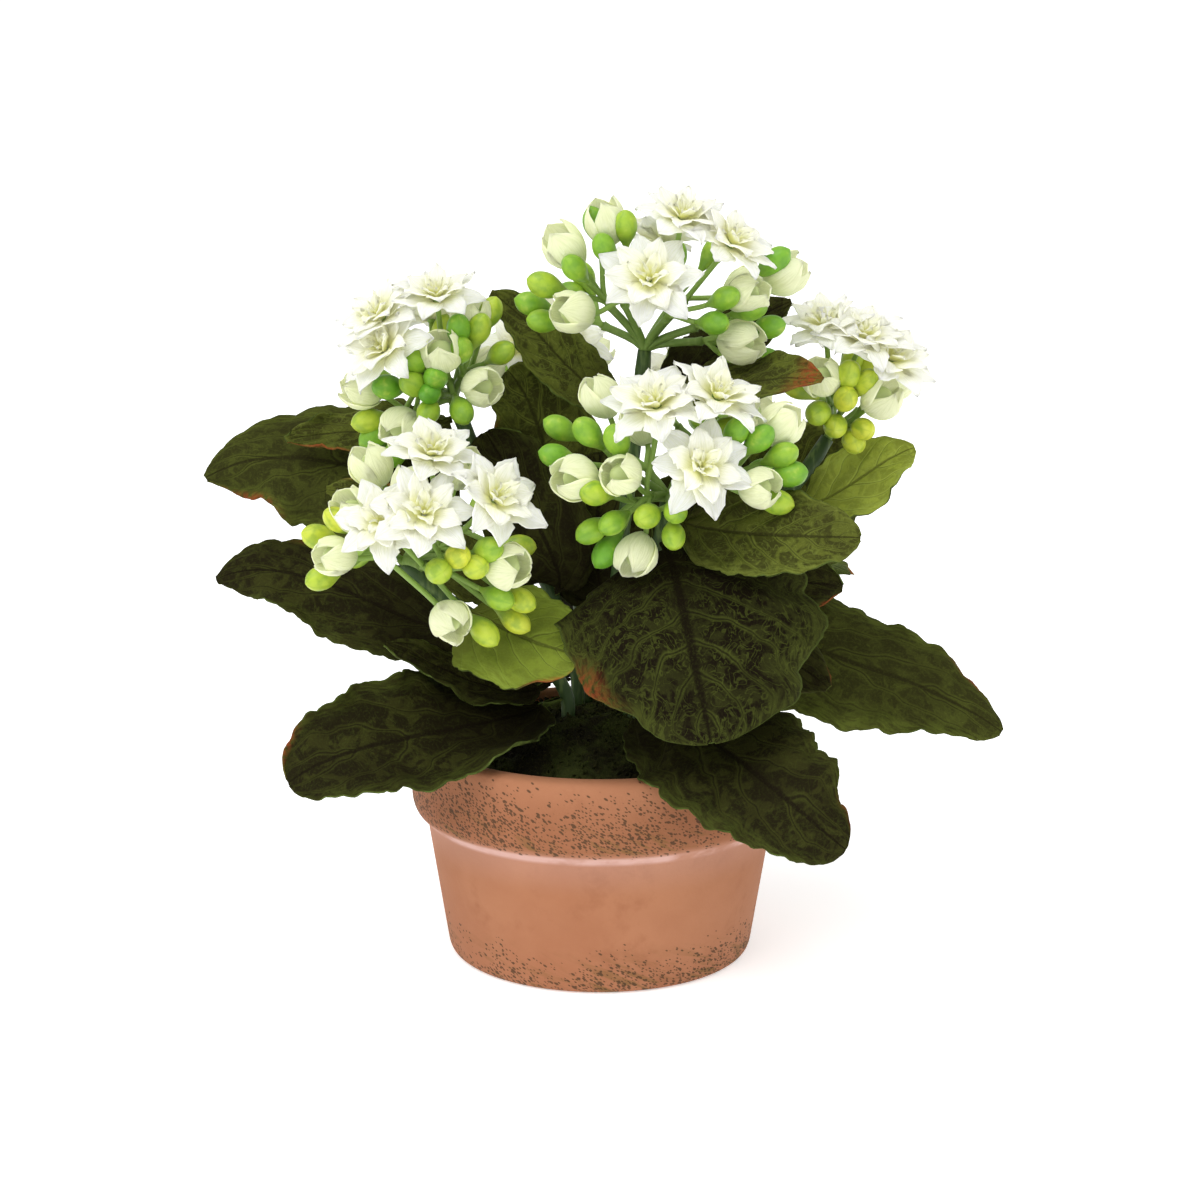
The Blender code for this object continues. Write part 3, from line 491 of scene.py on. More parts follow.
def leaf_material(name, look):
    """Printed and crimped leaf cloth: veins, marbled blotches between them, a paler margin, and painted
    shade along the vein creases.
    """
    shade = Shade(name)
    share, side, _ = shade.split(shade.attribute("place"))
    flat = shade.attribute("flat")
    aside = shade.math("ABSOLUTE", side)
    wander = shade.minus(shade.noise(flat, 0.05, 2.0), 0.5)
    along = side_veins(shade, share, aside, look["sweep"], look["veins"])
    along = shade.plus(along, shade.times(wander, 1.6))
    near_vein = shade.math("PINGPONG", along, 0.5)
    vein = shade.rise(shade.plus(near_vein, shade.times(aside, 0.07)), 0.15, 0.04)
    midrib = shade.rise(aside, 0.055, 0.015)
    beside = shade.rise(aside, 0.17, 0.07)
    patch = shade.noise(flat, 0.14, 4.0, 0.6, 1.0)
    inside = shade.times(shade.rise(near_vein, 0.05, 0.17), shade.rise(aside, 0.99, 0.76))
    blotches = shade.times(shade.times(shade.rise(patch, 0.41, 0.53), inside), look["blotches"])
    swirl = shade.math("ABSOLUTE", shade.minus(shade.noise(flat, 0.2, 2.0, 0.5, 1.6), 0.5))
    marbling = shade.times(shade.rise(swirl, 0.04, 0.008), look["net"])
    grain = shade.noise(flat, 1.3, 3.0, 0.6)
    broad = shade.noise(flat, 0.045, 2.0)

    colour = shade.mix(blotches, look["ground"], look["blotch_and_shade"])
    colour = shade.layer(colour, look["vein"], marbling, 0.7)
    colour = shade.layer(colour, look["vein"], vein, look["lines"])
    colour = shade.layer(colour, look["ground"], beside, 0.5 * look["lines"])
    # Painted shade: a dark line along the bottom of each side vein's crease.
    crease_shade = shade.rise(shade.plus(near_vein, shade.times(aside, 0.03)), 0.06, 0.015)
    colour = shade.layer(colour, look["blotch_and_shade"], crease_shade, 0.8)
    colour = shade.layer(colour, look["blotch_and_shade"], midrib, 0.9)
    stripes = shade.noise(shade.scaled(flat, (0.5, 2.2, 1.0)), 0.42, 3.0, 0.6)
    margin = shade.times(shade.rise(aside, 0.55, 0.96), shade.rise(stripes, 0.4, 0.62))
    colour = shade.layer(colour, look["vein"], margin, 0.6)
    colour = shade.layer(colour, look["vein"], shade.rise(grain, 0.48, 0.72), 0.22)
    colour = shade.layer(colour, look["blotch_and_shade"], shade.rise(broad, 0.42, 0.68), 0.35)
    colour = shade.layer(colour, look["blotch_and_shade"], shade.rise(share, 0.55, 0.1), 0.6)
    colour = shade.layer(colour, LEAF_UNDER, shade.rise(aside, 0.97, 0.995), 0.6)
    uneven = shade.rise(shade.noise(flat, 0.5), 0.3, 0.6)
    dyed = shade.times(shade.attribute("red", "Fac"), uneven)
    colour = shade.layer(colour, LEAF_RED, dyed, 0.75)
    shade.surface(colour, roughness=0.8, specular=0.03)
    height = shade.minus(shade.times(grain, 0.35), shade.times(vein, 0.5))
    height = shade.minus(height, shade.times(midrib, 0.8))
    height = shade.minus(height, shade.times(marbling, 0.4))
    shade.bump(height, 0.6, 0.0006)
    return shade.material


def under_material():
    """Paler underside of the leaf cloth, with its veins raised."""
    shade = Shade("leaf_underside")
    share, side, _ = shade.split(shade.attribute("place"))
    flat = shade.attribute("flat")
    aside = shade.math("ABSOLUTE", side)
    along = side_veins(shade, share, aside, 0.4, 6.0)
    vein = shade.rise(shade.math("PINGPONG", along, 0.5), 0.1, 0.02)
    ribs = shade.math("MAXIMUM", vein, shade.rise(aside, 0.07, 0.02))
    patches = shade.rise(shade.noise(flat, 0.16, 5.0, 0.62, 1.0), 0.42, 0.58)
    colour = shade.mix(shade.times(patches, 0.6), LEAF_UNDER, LEAF_UNDER_DARK)
    colour = shade.layer(colour, LEAF_UNDER_VEIN, ribs, 0.4)
    dyed = shade.times(shade.attribute("red", "Fac"), 0.6)
    colour = shade.layer(colour, LEAF_RED, dyed)
    shade.surface(colour, roughness=0.8, specular=0.03)
    height = shade.plus(shade.times(ribs, 0.8), shade.noise(flat, 1.6, 2.0))
    shade.bump(height, 0.5, 0.0005)
    return shade.material


def petal_material(name, body, foot_colour, foot_share):
    """Petal cloth with fine ribs along it; tint and the petal's foot bring the other colour, and a faint
    painted glow stands in for light shining through the cloth.
    """
    shade = Shade(name)
    share, side, seed = shade.split(shade.attribute("place"))
    tint = shade.attribute("tint", "Fac")
    grain = shade.noise(shade.join(shade.times(share, 1.6), shade.times(side, 7.0), seed), 2.0, 3.0, 0.6)
    foot = shade.rise(share, foot_share, 0.0)
    foot = shade.times(foot, shade.plus(shade.times(tint, 0.4), 0.75))
    foot = shade.plus(foot, shade.times(tint, 0.45), clamp=True)
    colour = shade.mix(foot, body, foot_colour)
    tone = shade.times(shade.rise(grain, 0.6, 0.32), 0.4)
    colour = shade.mix(tone, colour, PETAL_SHADE, "MULTIPLY")
    shade.surface(colour, roughness=0.75, specular=0.2)
    shade.set("Sheen Weight", 0.1)
    shade.scatter(0.7, (1.0, 1.0, 0.8), 0.0025)
    # Painted glow: the petals give off a little light, in place of light shining through the cloth.
    shade.set("Emission Color", (1.0, 0.99, 0.8, 1.0))
    shade.set("Emission Strength", PETAL_PAINTED_GLOW)
    shade.bump(grain, 0.6, 0.0005)
    return shade.material


def bud_material():
    """Waxy moulded buds, green to yellow, with faint seams and a greener neck."""
    shade = Shade("bud_green")
    share, seam, _ = shade.split(shade.attribute("place"))
    place = shade.position()
    yellow = shade.attribute("tint", "Fac")
    mottle = shade.noise(place, 230.0, 3.0)
    colour = shade.mix(yellow, BUD_GREEN, BUD_YELLOW)
    colour = shade.layer(colour, STALK_GREEN, shade.rise(share, 0.5, 0.2), 0.45)
    colour = shade.layer(colour, BUD_DEEP, shade.rise(mottle, 0.55, 0.35), 0.4)
    colour = shade.layer(colour, BUD_PALE, shade.rise(mottle, 0.55, 0.75), 0.4)
    colour = shade.layer(colour, BUD_DEEP, seam, 0.22)
    shade.surface(colour, roughness=0.4, specular=0.35)
    shade.scatter(0.15, (0.8, 1.0, 0.3), 0.0015)
    shade.bump(shade.noise(place, 700.0, 2.0), 0.2, 0.0004)
    return shade.material


def stalk_material():
    """Stem cloth, dark on the stems and paler on the thin stalks, with fine streaks."""
    shade = Shade("stalk_green")
    place = shade.position()
    thin = shade.attribute("tint", "Fac")
    colour = shade.mix(thin, STEM_DARK, STALK_GREEN)
    streak = shade.noise(shade.scaled(place, (1.0, 1.0, 0.15)), 500.0, 3.0)
    colour = shade.layer(colour, STALK_PALE, shade.rise(streak, 0.45, 0.7), 0.25)
    shade.surface(colour, roughness=0.5, specular=0.3)
    shade.bump(streak, 0.4, 0.0004)
    return shade.material


def clay_material():
    """Fired clay with small slanting specks on the rim and round the foot, painted shade on the rim, and a
    pale line under the rim painted as a highlight.
    """
    shade = Shade("fired_clay")
    place = shade.position()
    across, inward, height = shade.split(place)
    cloud = shade.noise(place, 26.0, 4.0)
    colour = shade.mix(shade.rise(cloud, 0.36, 0.7), CLAY, CLAY_PALE)
    deep = shade.noise(place, 60.0, 5.0, 0.65)
    colour = shade.layer(colour, CLAY_DEEP_AND_SHADE, shade.rise(deep, 0.5, 0.72), 0.4)

    rim = shade.band(height, RIM_FROM_M, RIM_TO_M)
    foot = shade.rise(height, *FOOT_M)
    worn = shade.math("MAXIMUM", rim, foot)
    drift = shade.noise(place, 34.0, 3.0, 0.6)
    dense = shade.times(worn, shade.rise(drift, 0.24, 0.54))
    lean = shade.plus(height, shade.times(across, 0.45))
    slanted = shade.join(shade.times(across, 0.62), shade.times(inward, 0.62), lean)
    specks = 0.0
    for scale, kept, near, far in SPECK_SIZES:
        spot = shade.cells(slanted, scale, "Distance")
        lot = shade.split(shade.cells(slanted, scale, "Color"))[0]
        chosen = shade.math("LESS_THAN", lot, shade.times(dense, kept))
        specks = shade.math("MAXIMUM", specks, shade.times(shade.rise(spot, near, far), chosen))

    smear = shade.noise(shade.scaled(slanted, (1.0, 1.0, 3.2)), 130.0, 4.0, 0.6, 0.6)
    low = shade.math("MAXIMUM", shade.rise(height, *RIM_SMEAR_M), shade.rise(height, *FOOT_SMEAR_M))
    ochre = shade.times(shade.times(shade.rise(smear, 0.48, 0.64), dense), low)
    # Painted shade: the rim is darkened as if shaded by the leaves that hang over it.
    colour = shade.layer(colour, CLAY_DEEP_AND_SHADE, rim, 0.5)
    colour = shade.layer(colour, CLAY_OCHRE, ochre, 0.8)

    # Painted highlight: a pale line along the ledge under the rim, with a faint band round it.
    ring = shade.band(height, RING_FROM_M, RING_TO_M)
    painted_ring_highlight = shade.times(ring, shade.rise(shade.noise(place, 70.0, 4.0), 0.3, 0.62))
    painted_halo = shade.band(height, HALO_FROM_M, HALO_TO_M)
    colour = shade.layer(colour, CLAY_PAINTED_HIGHLIGHT, painted_halo, 0.16)
    colour = shade.layer(colour, CLAY_PAINTED_HIGHLIGHT, painted_ring_highlight, 0.7)
    colour = shade.layer(colour, CLAY_SPECK, specks, 0.8)
    shade.surface(colour, roughness=0.8, specular=0.25)
    relief = shade.minus(shade.noise(place, 900.0, 3.0), specks)
    relief = shade.plus(relief, shade.times(deep, 0.8))
    shade.bump(relief, 0.35, 0.0004)
    return shade.material


def moss_material():
    """Dark moss with greener patches and specks the colour of straw."""
    shade = Shade("moss_green")
    place = shade.position()
    patch = shade.noise(place, 90.0, 4.0)
    fine = shade.noise(place, 900.0, 3.0)
    colour = shade.mix(shade.rise(patch, 0.4, 0.62), MOSS_DARK, MOSS_GREEN)
    colour = shade.layer(colour, MOSS_STRAW, shade.rise(fine, 0.5, 0.75), 0.4)
    shade.surface(colour, roughness=0.95, specular=0.1)
    shade.bump(fine, 0.9, 0.001)
    return shade.material


def turns(count):
    """Angles of evenly spaced points round a circle."""
    return [2.0 * math.pi * index / count for index in range(count)]


def around(out, turn, height):
    """Point at a distance from the local Z axis, at an angle and a height."""
    return Vector((out * math.cos(turn), out * math.sin(turn), height))


def cubic(start, near, far, end, share):
    """Point on the cubic curve with these four guide points, and its slope there."""
    left = 1.0 - share
    point = start * left ** 3 + near * 3 * share * left ** 2 + far * 3 * share ** 2 * left + end * share ** 3
    slope = (near - start) * left ** 2 + (far - near) * 2 * share * left + (end - far) * share ** 2
    return point, slope.normalized()


def bend_through(start, near, far, end, steps):
    """Points along the cubic curve with these four guide points."""
    return [cubic(start, near, far, end, index / steps)[0] for index in range(steps + 1)]


def nowhere(i, j):
    """Place of a point whose material reads none."""
    return (0.0, 0.0, 0.0)


class Cloth:
    """Gathers the sheets and tubes of one piece, in millimetres, with what its material reads."""

    def __init__(self):
        self.points, self.faces, self.place, self.tint = [], [], [], []

    def grid(self, rows, place, tint=0.0, closed=False):
        """Adds rows of points; place(row, column) gives what the material reads there."""
        start = len(self.points)
        width = len(rows[0])
        for i, row in enumerate(rows):
            for j, point in enumerate(row):
                self.points.append(point)
                self.place.append(place(i, j))
                self.tint.append(tint)
        for i in range(len(rows) - 1):
            for j in range(width if closed else width - 1):
                a = start + i * width + j
                b = start + i * width + (j + 1) % width
                self.faces.append((a, b, b + width, a + width))
        return start

    def cap(self, first, count, reverse=False):
        ring = list(range(first, first + count))
        self.faces.append(tuple(reversed(ring)) if reverse else tuple(ring))

    def tube(self, path, radii, sides, tint=0.0):
        """Closed tube along a path of points with a radius at each."""
        rows = []
        guide = (path[1] - path[0]).orthogonal().normalized()
        for index, point in enumerate(path):
            before = path[max(index - 1, 0)]
            after = path[min(index + 1, len(path) - 1)]
            along = (after - before).normalized()
            guide = (guide - along * guide.dot(along)).normalized()
            other = along.cross(guide)
            rows.append([point + (guide * math.cos(turn) + other * math.sin(turn)) * radii[index]
                         for turn in turns(sides)])
        last = len(path) - 1
        start = self.grid(rows, lambda i, j: (i / last, 0.0, 0.0), tint, closed=True)
        self.cap(start, sides, reverse=True)
        self.cap(start + last * sides, sides)

    def piece(self, name, materials, thickness=0.0, flat=None, red=None):
        """The finished object, with sheets given their thickness."""
        mesh = bpy.data.meshes.new(name)
        mesh.from_pydata([point * MM for point in self.points], [], self.faces)
        for label, places in (("place", self.place), ("flat", flat)):
            if places:
                attribute = mesh.attributes.new(label, "FLOAT_VECTOR", "POINT")
                attribute.data.foreach_set("vector", [value for place in places for value in place])
        for label, values in (("tint", self.tint), ("red", red)):
            if values:
                mesh.attributes.new(label, "FLOAT", "POINT").data.foreach_set("value", values)
        for material in materials:
            mesh.materials.append(material)
        mesh.shade_smooth()
        mesh.validate()
        made = bpy.data.objects.new(name, mesh)
        bpy.context.scene.collection.objects.link(made)
        if thickness:
            shell = made.modifiers.new("thickness", "SOLIDIFY")
            shell.thickness = thickness * MM
            shell.offset = 0.0
            shell.use_even_offset = False
            shell.material_offset = len(materials) - 1
            shell.material_offset_rim = len(materials) - 1
        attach(made, "root")
        return made


def seen(px, py, depth):
    """Point in millimetres seen at a pixel of the photograph, at depth +Y."""
    upward = Vector((0.0, math.sin(VIEW_TILT), math.cos(VIEW_TILT)))
    right = (px - VIEW_MIDDLE_PX[0]) * MM_PER_PX / VIEW_DISTANCE
    rise = (VIEW_MIDDLE_PX[1] - py) * MM_PER_PX / VIEW_DISTANCE
    ray = VIEW_FORWARD + Vector((right, 0.0, 0.0)) + upward * rise
    return VIEW_EYE + ray * ((depth - VIEW_EYE.y) / ray.y)


def aim(point, axis, spin=0.0, size=1.0):
    """Matrix that stands local +Z along an axis at a point in mm."""
    turn = Vector(axis).to_track_quat("Z", "Y").to_matrix().to_4x4()
    return Matrix.Translation(Vector(point)) @ turn @ Matrix.Rotation(spin, 4, "Z") @ Matrix.Scale(size, 4)


def stem_path(head):
    """Guide points of a stem in mm: straight in the moss, then a bend to its fork."""
    foot = Vector((head["foot"][0], head["foot"][1], STEM_FREE_HEIGHT))
    fork = seen(*head["fork"], head["fork_depth"])
    lean = Vector((fork.x - foot.x, fork.y - foot.y, (fork.z - foot.z) * 1.3)).normalized()
    rise = foot + Vector((0.0, 0.0, 0.34 * (fork.z - foot.z)))
    near = fork - lean * 0.36 * (fork - foot).length
    return foot, rise, near, fork


def stem_point(head, share):
    """Point on the stem's bend and its direction there."""
    return cubic(*stem_path(head), share)


def head_items(head, draw):
    """Flowers and buds of one head: kind, centre in mm, axis, size and spin."""
    centre_px, reach, depth, bulge = head["centre"], head["reach"], head["depth"], head["bulge"]
    middle = seen(*centre_px, depth)
    fork = seen(*head["fork"], head["fork_depth"])
    inside = middle.lerp(fork, 0.6)
    items = []
    for kind in ("open", "cup", "bud"):
        for px, py in head[kind]:
            across = ((px - centre_px[0]) / reach[0]) ** 2 + ((py - centre_px[1]) / reach[1]) ** 2
            place = seen(px, py, depth - bulge * math.sqrt(max(0.0, 1.0 - across)))
            items.append(dict(kind=kind, at=place))
    behind = ["open"] * head["behind"][0] + ["cup"] * head["behind"][1] + ["bud"] * head["behind"][2]
    wide, tall = reach[0] * MM_PER_PX, reach[1] * MM_PER_PX
    for index, kind in enumerate(behind):
        angle = math.radians(90.0) + (index + 0.5) * GOLDEN_ANGLE
        sweep = math.radians(90.0 + 68.0 * math.sin(angle))
        climb = math.radians(18.0 + 26.0 * math.cos(2.0 * angle)) if index else math.radians(38.0)
        if kind == "open":
            sweep = math.radians(90.0 + (index - 0.5 * (head["behind"][0] - 1)) * 50.0)
        place = middle + Vector((0.72 * wide * math.cos(sweep) * math.cos(climb),
                                 0.62 * bulge * math.sin(sweep) * math.cos(climb),
                                 0.8 * tall * math.sin(climb)))
        items.append(dict(kind=kind, at=place))
    for item in items:
        item["axis"] = (item["at"] - inside + Vector((0.0, 0.0, 4.0))).normalized()
        item["size"] = draw.uniform(*ITEM_SIZES)
        item["spin"] = draw.uniform(0.0, 2.0 * math.pi)
    settle(items)
    return fork, items


def item_radius(item):
    """How far a flower or bud reaches from its middle."""
    return item["size"] * {"open": BLOOM_RADIUS, "cup": CUP_RADIUS, "bud": BUD_RADIUS}[item["kind"]]


def settle(items):
    """Buds beside a flower are shifted out of its petals, outwards or inwards."""
    flowers = [item for item in items if item["kind"] == "open"]
    buds = [item for item in items if item["kind"] != "open"]
    for _ in range(SETTLE_ROUNDS):
        for bud in buds:
            room = item_radius(bud)
            for flower in flowers:
                offset = bud["at"] - flower["at"]
                height = offset.dot(flower["axis"])
                flat = offset - flower["axis"] * height
                lack_out = BLOOM_SPREAD * item_radius(flower) + room - flat.length
                lack_in = height + room + 1.0
                lack_over = BLOOM_HEIGHT + room - height
                if lack_out <= 0.0 or lack_in <= 0.0 or lack_over <= 0.0:
                    continue
                if lack_out <= lack_in:
                    bud["at"] = bud["at"] + flat.normalized() * min(lack_out, 1.0)
                else:
                    bud["at"] = bud["at"] - flower["axis"] * min(lack_in, 1.0)


def petal_width(share):
    """Width of a petal as a part of its widest: narrow foot, full middle, drawn-out point."""
    if share < PETAL_WIDEST:
        return 0.34 + 0.66 * math.sin(0.5 * math.pi * share / PETAL_WIDEST) ** 1.1
    return max(0.02, math.cos(0.5 * math.pi * (share - PETAL_WIDEST) / (1.0 - PETAL_WIDEST)) ** 0.85)


def petal_rows(length, width, foot, height, start, end, draw, long_steps=12, cross_steps=8):
    """Rows of one petal that leaves the middle along +X, wavy and slightly folded."""
    curl = draw.uniform(-0.5, 0.25)
    fold = draw.uniform(-0.06, 0.2)
    lean = draw.uniform(-0.14, 0.14)
    roll = draw.uniform(-0.3, 0.3)
    crimp = draw.uniform(0.0, 50.0)
    x, z = foot, height
    rows = []
    for step in range(long_steps + 1):
        share = step / long_steps
        slope = math.radians(start + (end - start) * share ** 1.2) + curl * share ** 4
        if step:
            x += math.cos(slope) * length / long_steps
            z += math.sin(slope) * length / long_steps
        half = 0.5 * width * petal_width(share)
        row = []
        for column in range(cross_steps + 1):
            side = 2.0 * column / cross_steps - 1.0
            ragged = 1.0 + 0.34 * abs(side) ** 3 * noise.noise(Vector((crimp, 17.0 * share, 2.0 * side)))
            ripple = 1.4 * share * noise.noise(Vector((3.2 * share, 1.3 * side, crimp)))
            raised = (fold * abs(side) ** 1.4 + roll * share * side) * half + ripple
            row.append(Vector((x - math.sin(slope) * raised,
                               half * side * ragged + lean * x * share,
                               z + math.cos(slope) * raised)))
        rows.append(row)
    return rows


def add_petal(cloth, rows, matrix, seed, tint=0.0):
    """One petal's sheet, moved into place; its material reads share, side and seed."""
    rows = [[matrix @ point for point in row] for row in rows]
    long_steps, cross_steps = len(rows) - 1, len(rows[0]) - 1
    cloth.grid(rows, lambda i, j: (i / long_steps, 2.0 * j / cross_steps - 1.0, seed), tint)


def add_flower(cloth, item, draw):
    """A double flower: three layers of petals, each smaller and steeper, round a tuft."""
    base = aim(item["at"], item["axis"], item["spin"], item["size"])
    for layer, (count, length, width, foot, height, start, end) in enumerate(FLOWER_LAYERS):
        for index in range(count):
            turn = 2.0 * math.pi * (index + 0.5 * (layer % 2)) / count + draw.uniform(-0.12, 0.12)
            rows = petal_rows(length * draw.uniform(0.9, 1.04), width * draw.uniform(0.88, 1.08), foot,
                              height, start + draw.uniform(-8.0, 8.0), end + draw.uniform(-14.0, 12.0), draw)
            add_petal(cloth, rows, base @ Matrix.Rotation(turn, 4, "Z"), draw.uniform(0.0, 90.0),
                      layer / 3.0)


def cup_petal_rows(radius, tall, closing, draw, steps=12, columns=10):
    """Rows of one broad petal that wraps part of an egg and ends in a point."""
    rows = []
    crimp = draw.uniform(0.0, 50.0)
    for step in range(steps + 1):
        share = step / steps
        out = radius * math.sin(math.pi * (0.05 + closing * share)) ** 0.62
        spread = CUP_HALF_ANGLE * (0.85 + 0.15 * math.sin(math.pi * share))
        spread *= max(0.02, math.cos(0.5 * math.pi * share ** 3.4)) ** 0.7
        row = []
        for column in range(columns + 1):
            side = 2.0 * column / columns - 1.0
            turn = spread * side
            lap = out + 0.35 * side + 0.6 * share * noise.noise(Vector((crimp, 5.0 * share, 2.5 * side)))
            row.append(around(lap, turn, tall * (share - 0.5)))
        rows.append(row)
    return rows


def add_cup(cloth, item, draw):
    """An opening bud: broad petals whose points bend in over a pale green middle."""
    base = aim(item["at"], item["axis"], item["spin"], item["size"])
    for index in range(CUP_PETALS):
        turn = 2.0 * math.pi * index / CUP_PETALS + draw.uniform(-0.12, 0.12)
        closing = draw.uniform(*(CUP_FIRST_CLOSING if index == 0 else CUP_CLOSING))
        rows = cup_petal_rows(CUP_RADIUS * (1.0 + 0.05 * (index % 2)), CUP_LENGTH * draw.uniform(0.96, 1.1),
                              closing, draw)
        add_petal(cloth, rows, base @ Matrix.Rotation(turn, 4, "Z"), draw.uniform(0.0, 90.0))
    sides, steps = 12, 8
    rows = []
    for step in range(steps + 1):
        share = step / steps
        out = CUP_CORE * CUP_RADIUS * math.sin(math.pi * (0.08 + 0.9 * share)) ** 0.7
        height = CUP_LENGTH * (0.76 * share - 0.48)
        rows.append([base @ around(out, turn, height) for turn in turns(sides)])
    start = cloth.grid(rows, nowhere, 1.0, closed=True)
    cloth.cap(start + steps * sides, sides)


def add_bud(cloth, item, yellow):
    """A closed bud: an egg on a tapering neck, with seams that run to its point."""
    base = aim(item["at"], item["axis"], item["spin"], item["size"])
    steps = 9
    outline = []
    for step in range(steps):
        share = step / steps
        out = PEDICEL_RADIUS + (BUD_RADIUS - PEDICEL_RADIUS) * math.sin(0.5 * math.pi * share) ** 1.5
        outline.append((out, -item["neck"] * (1.0 - share)))
    for step in range(steps + 1):
        share = step / steps
        turn = 0.5 * math.pi * share
        outline.append((max(0.06, BUD_RADIUS * math.cos(turn) ** 0.92),
                        0.5 * BUD_LENGTH * math.sin(turn) + 0.5 * share ** 8))
    last = len(outline) - 1
    seam_step = BUD_SIDES // BUD_SEAMS
    rows = []
    for index, (out, height) in enumerate(outline):
        seam_depth = 0.05 * max(0.0, index / last - 0.35)
        rows.append([base @ around(out * (1.0 - seam_depth * (-0.2 if k % seam_step else 1.0)), turn, height)
                     for k, turn in enumerate(turns(BUD_SIDES))])

    def place(i, j):
        return (i / last, 1.0 if j % seam_step == 0 and i > 0.45 * last else 0.0, 0.0)

    start = cloth.grid(rows, place, yellow, closed=True)
    cloth.cap(start, BUD_SIDES, reverse=True)
    cloth.cap(start + last * BUD_SIDES, BUD_SIDES)


def add_calyx(cloth, item, reach):
    """Small green cup of four short points under a flower or bud."""
    base = aim(item["at"], item["axis"], item["spin"], item["size"])
    radius = CALYX_RADIUS[item["kind"]]
    rows = []
    sides = 16
    for share in (0.0, 0.35, 0.7, 1.0):
        out = PEDICEL_RADIUS + (radius - PEDICEL_RADIUS) * math.sin(0.5 * math.pi * share)
        row = []
        for turn in turns(sides):
            point_up = 1.0 + (0.55 * max(0.0, math.cos(4.0 * turn)) if share == 1.0 else 0.0)
            row.append(base @ around(out, turn, -reach - 0.6 + 2.2 * share * point_up))
        rows.append(row)
    rows.append([base @ Vector((0.0, 0.0, -reach + 0.9))] * sides)
    cloth.grid(rows, lambda i, j: (0.2 * i, 0.0, 0.0), 1.0, closed=True)


def base_depth(item):
    """How far below its centre an item meets its stalk, before its size is applied."""
    return {"open": 0.6, "cup": 0.49 * CUP_LENGTH, "bud": item.get("neck", 0.0) - 0.3}[item["kind"]]


def gather(head, fork, items):
    """Groups of neighbours that share a branch; their buds turn away from the branch's end."""
    _, upright = stem_point(head, 1.0)
    aside = upright.orthogonal().normalized()
    ahead = upright.cross(aside)

    def bearing(item):
        offset = item["at"] - fork
        return math.atan2(offset.dot(aside), offset.dot(ahead))

    order = sorted(items, key=bearing)
    groups = []
    for start in range(0, len(order), GROUP_SIZE):
        group = order[start:start + GROUP_SIZE]
        middle = sum((item["at"] for item in group), Vector()) / len(group)
        knot = fork.lerp(middle, BRANCH_REACH)
        for item in group:
            away = item["at"] - knot
            item["neck"] = min(BUD_NECK, 0.72 * away.length / item["size"])
            if item["kind"] != "open":
                pull = 0.8 if item["kind"] == "bud" else 0.45
                item["axis"] = (away.normalized() * pull + item["axis"] * (1.0 - pull)).normalized()
        groups.append((knot, group))
    return upright, groups


def add_stalks(cloth, head, fork, upright, groups):
    """The stem, a few branches from its fork, and a curved stalk to each flower and bud."""
    foot = Vector((head["foot"][0], head["foot"][1], STEM_FOOT_HEIGHT))
    guide = stem_path(head)
    path = [foot, foot.lerp(guide[0], 0.5)] + bend_through(*guide, STEM_STEPS)
    radii = [STEM_RADIUS] * (len(path) - len(FORK_RADII)) + FORK_RADII
    cloth.tube(path, radii, STEM_SIDES)
    for knot, group in groups:
        away = (knot - fork).normalized()
        branch = bend_through(fork - upright, fork + upright * 3.0, knot - away * 3.0, knot, BRANCH_STEPS)
        radii = [BRANCH_RADIUS * (1.25 if k in (0, BRANCH_STEPS) else 1.0) for k in range(BRANCH_STEPS + 1)]
        cloth.tube(branch, radii, BRANCH_SIDES, BRANCH_TINT)
        for item in group:
            end = item["at"] - item["axis"] * base_depth(item) * item["size"]
            reach = (end - knot).length
            stalk = bend_through(knot, knot + away * 0.3 * reach, end - item["axis"] * 0.4 * reach, end,
                                 PEDICEL_STEPS)
            radii = [PEDICEL_RADIUS * 1.35] + [PEDICEL_RADIUS] * PEDICEL_STEPS
            cloth.tube(stalk, radii, PEDICEL_SIDES, 1.0)


def leaf_half_width(share, leaf):
    """Half of the blade's width at a share of the leaf's length, past a short stalk."""
    along = max(0.0, (share - LEAF_STALK) / (1.0 - LEAF_STALK))
    swell = max(0.0, math.sin(math.pi * along ** leaf.get("belly", LEAF_BELLY)))
    return max(LEAF_STALK_HALF, 0.5 * leaf["width"] * swell ** leaf.get("blunt", LEAF_BLUNT))


def leaf_curl(share, side, leaf):
    """How far a rolled edge stands up."""
    curl_side, curl_share, spread, height = leaf.get("curl", (1, 0.0, 1.0, 0.0))
    outer = max(0.0, (side * curl_side - 0.35) / 0.65)
    return height * outer ** 1.5 * math.exp(-((share - curl_share) / spread) ** 2)


def leaf_ends(leaf):
    """Where the leaf's stalk meets its stem, the way out from the stem, and the tip."""
    head = HEADS[leaf["stem"]]
    on_stem, upward = stem_point(head, leaf["at"])
    tip = Vector(leaf["tip_mm"]) if "tip_mm" in leaf else seen(*leaf["tip"], leaf["depth"])
    outward = tip - on_stem
    outward = (outward - upward * outward.dot(upward)).normalized()
    return on_stem + outward * (STEM_RADIUS + LEAF_JOIN_GAP), outward, tip


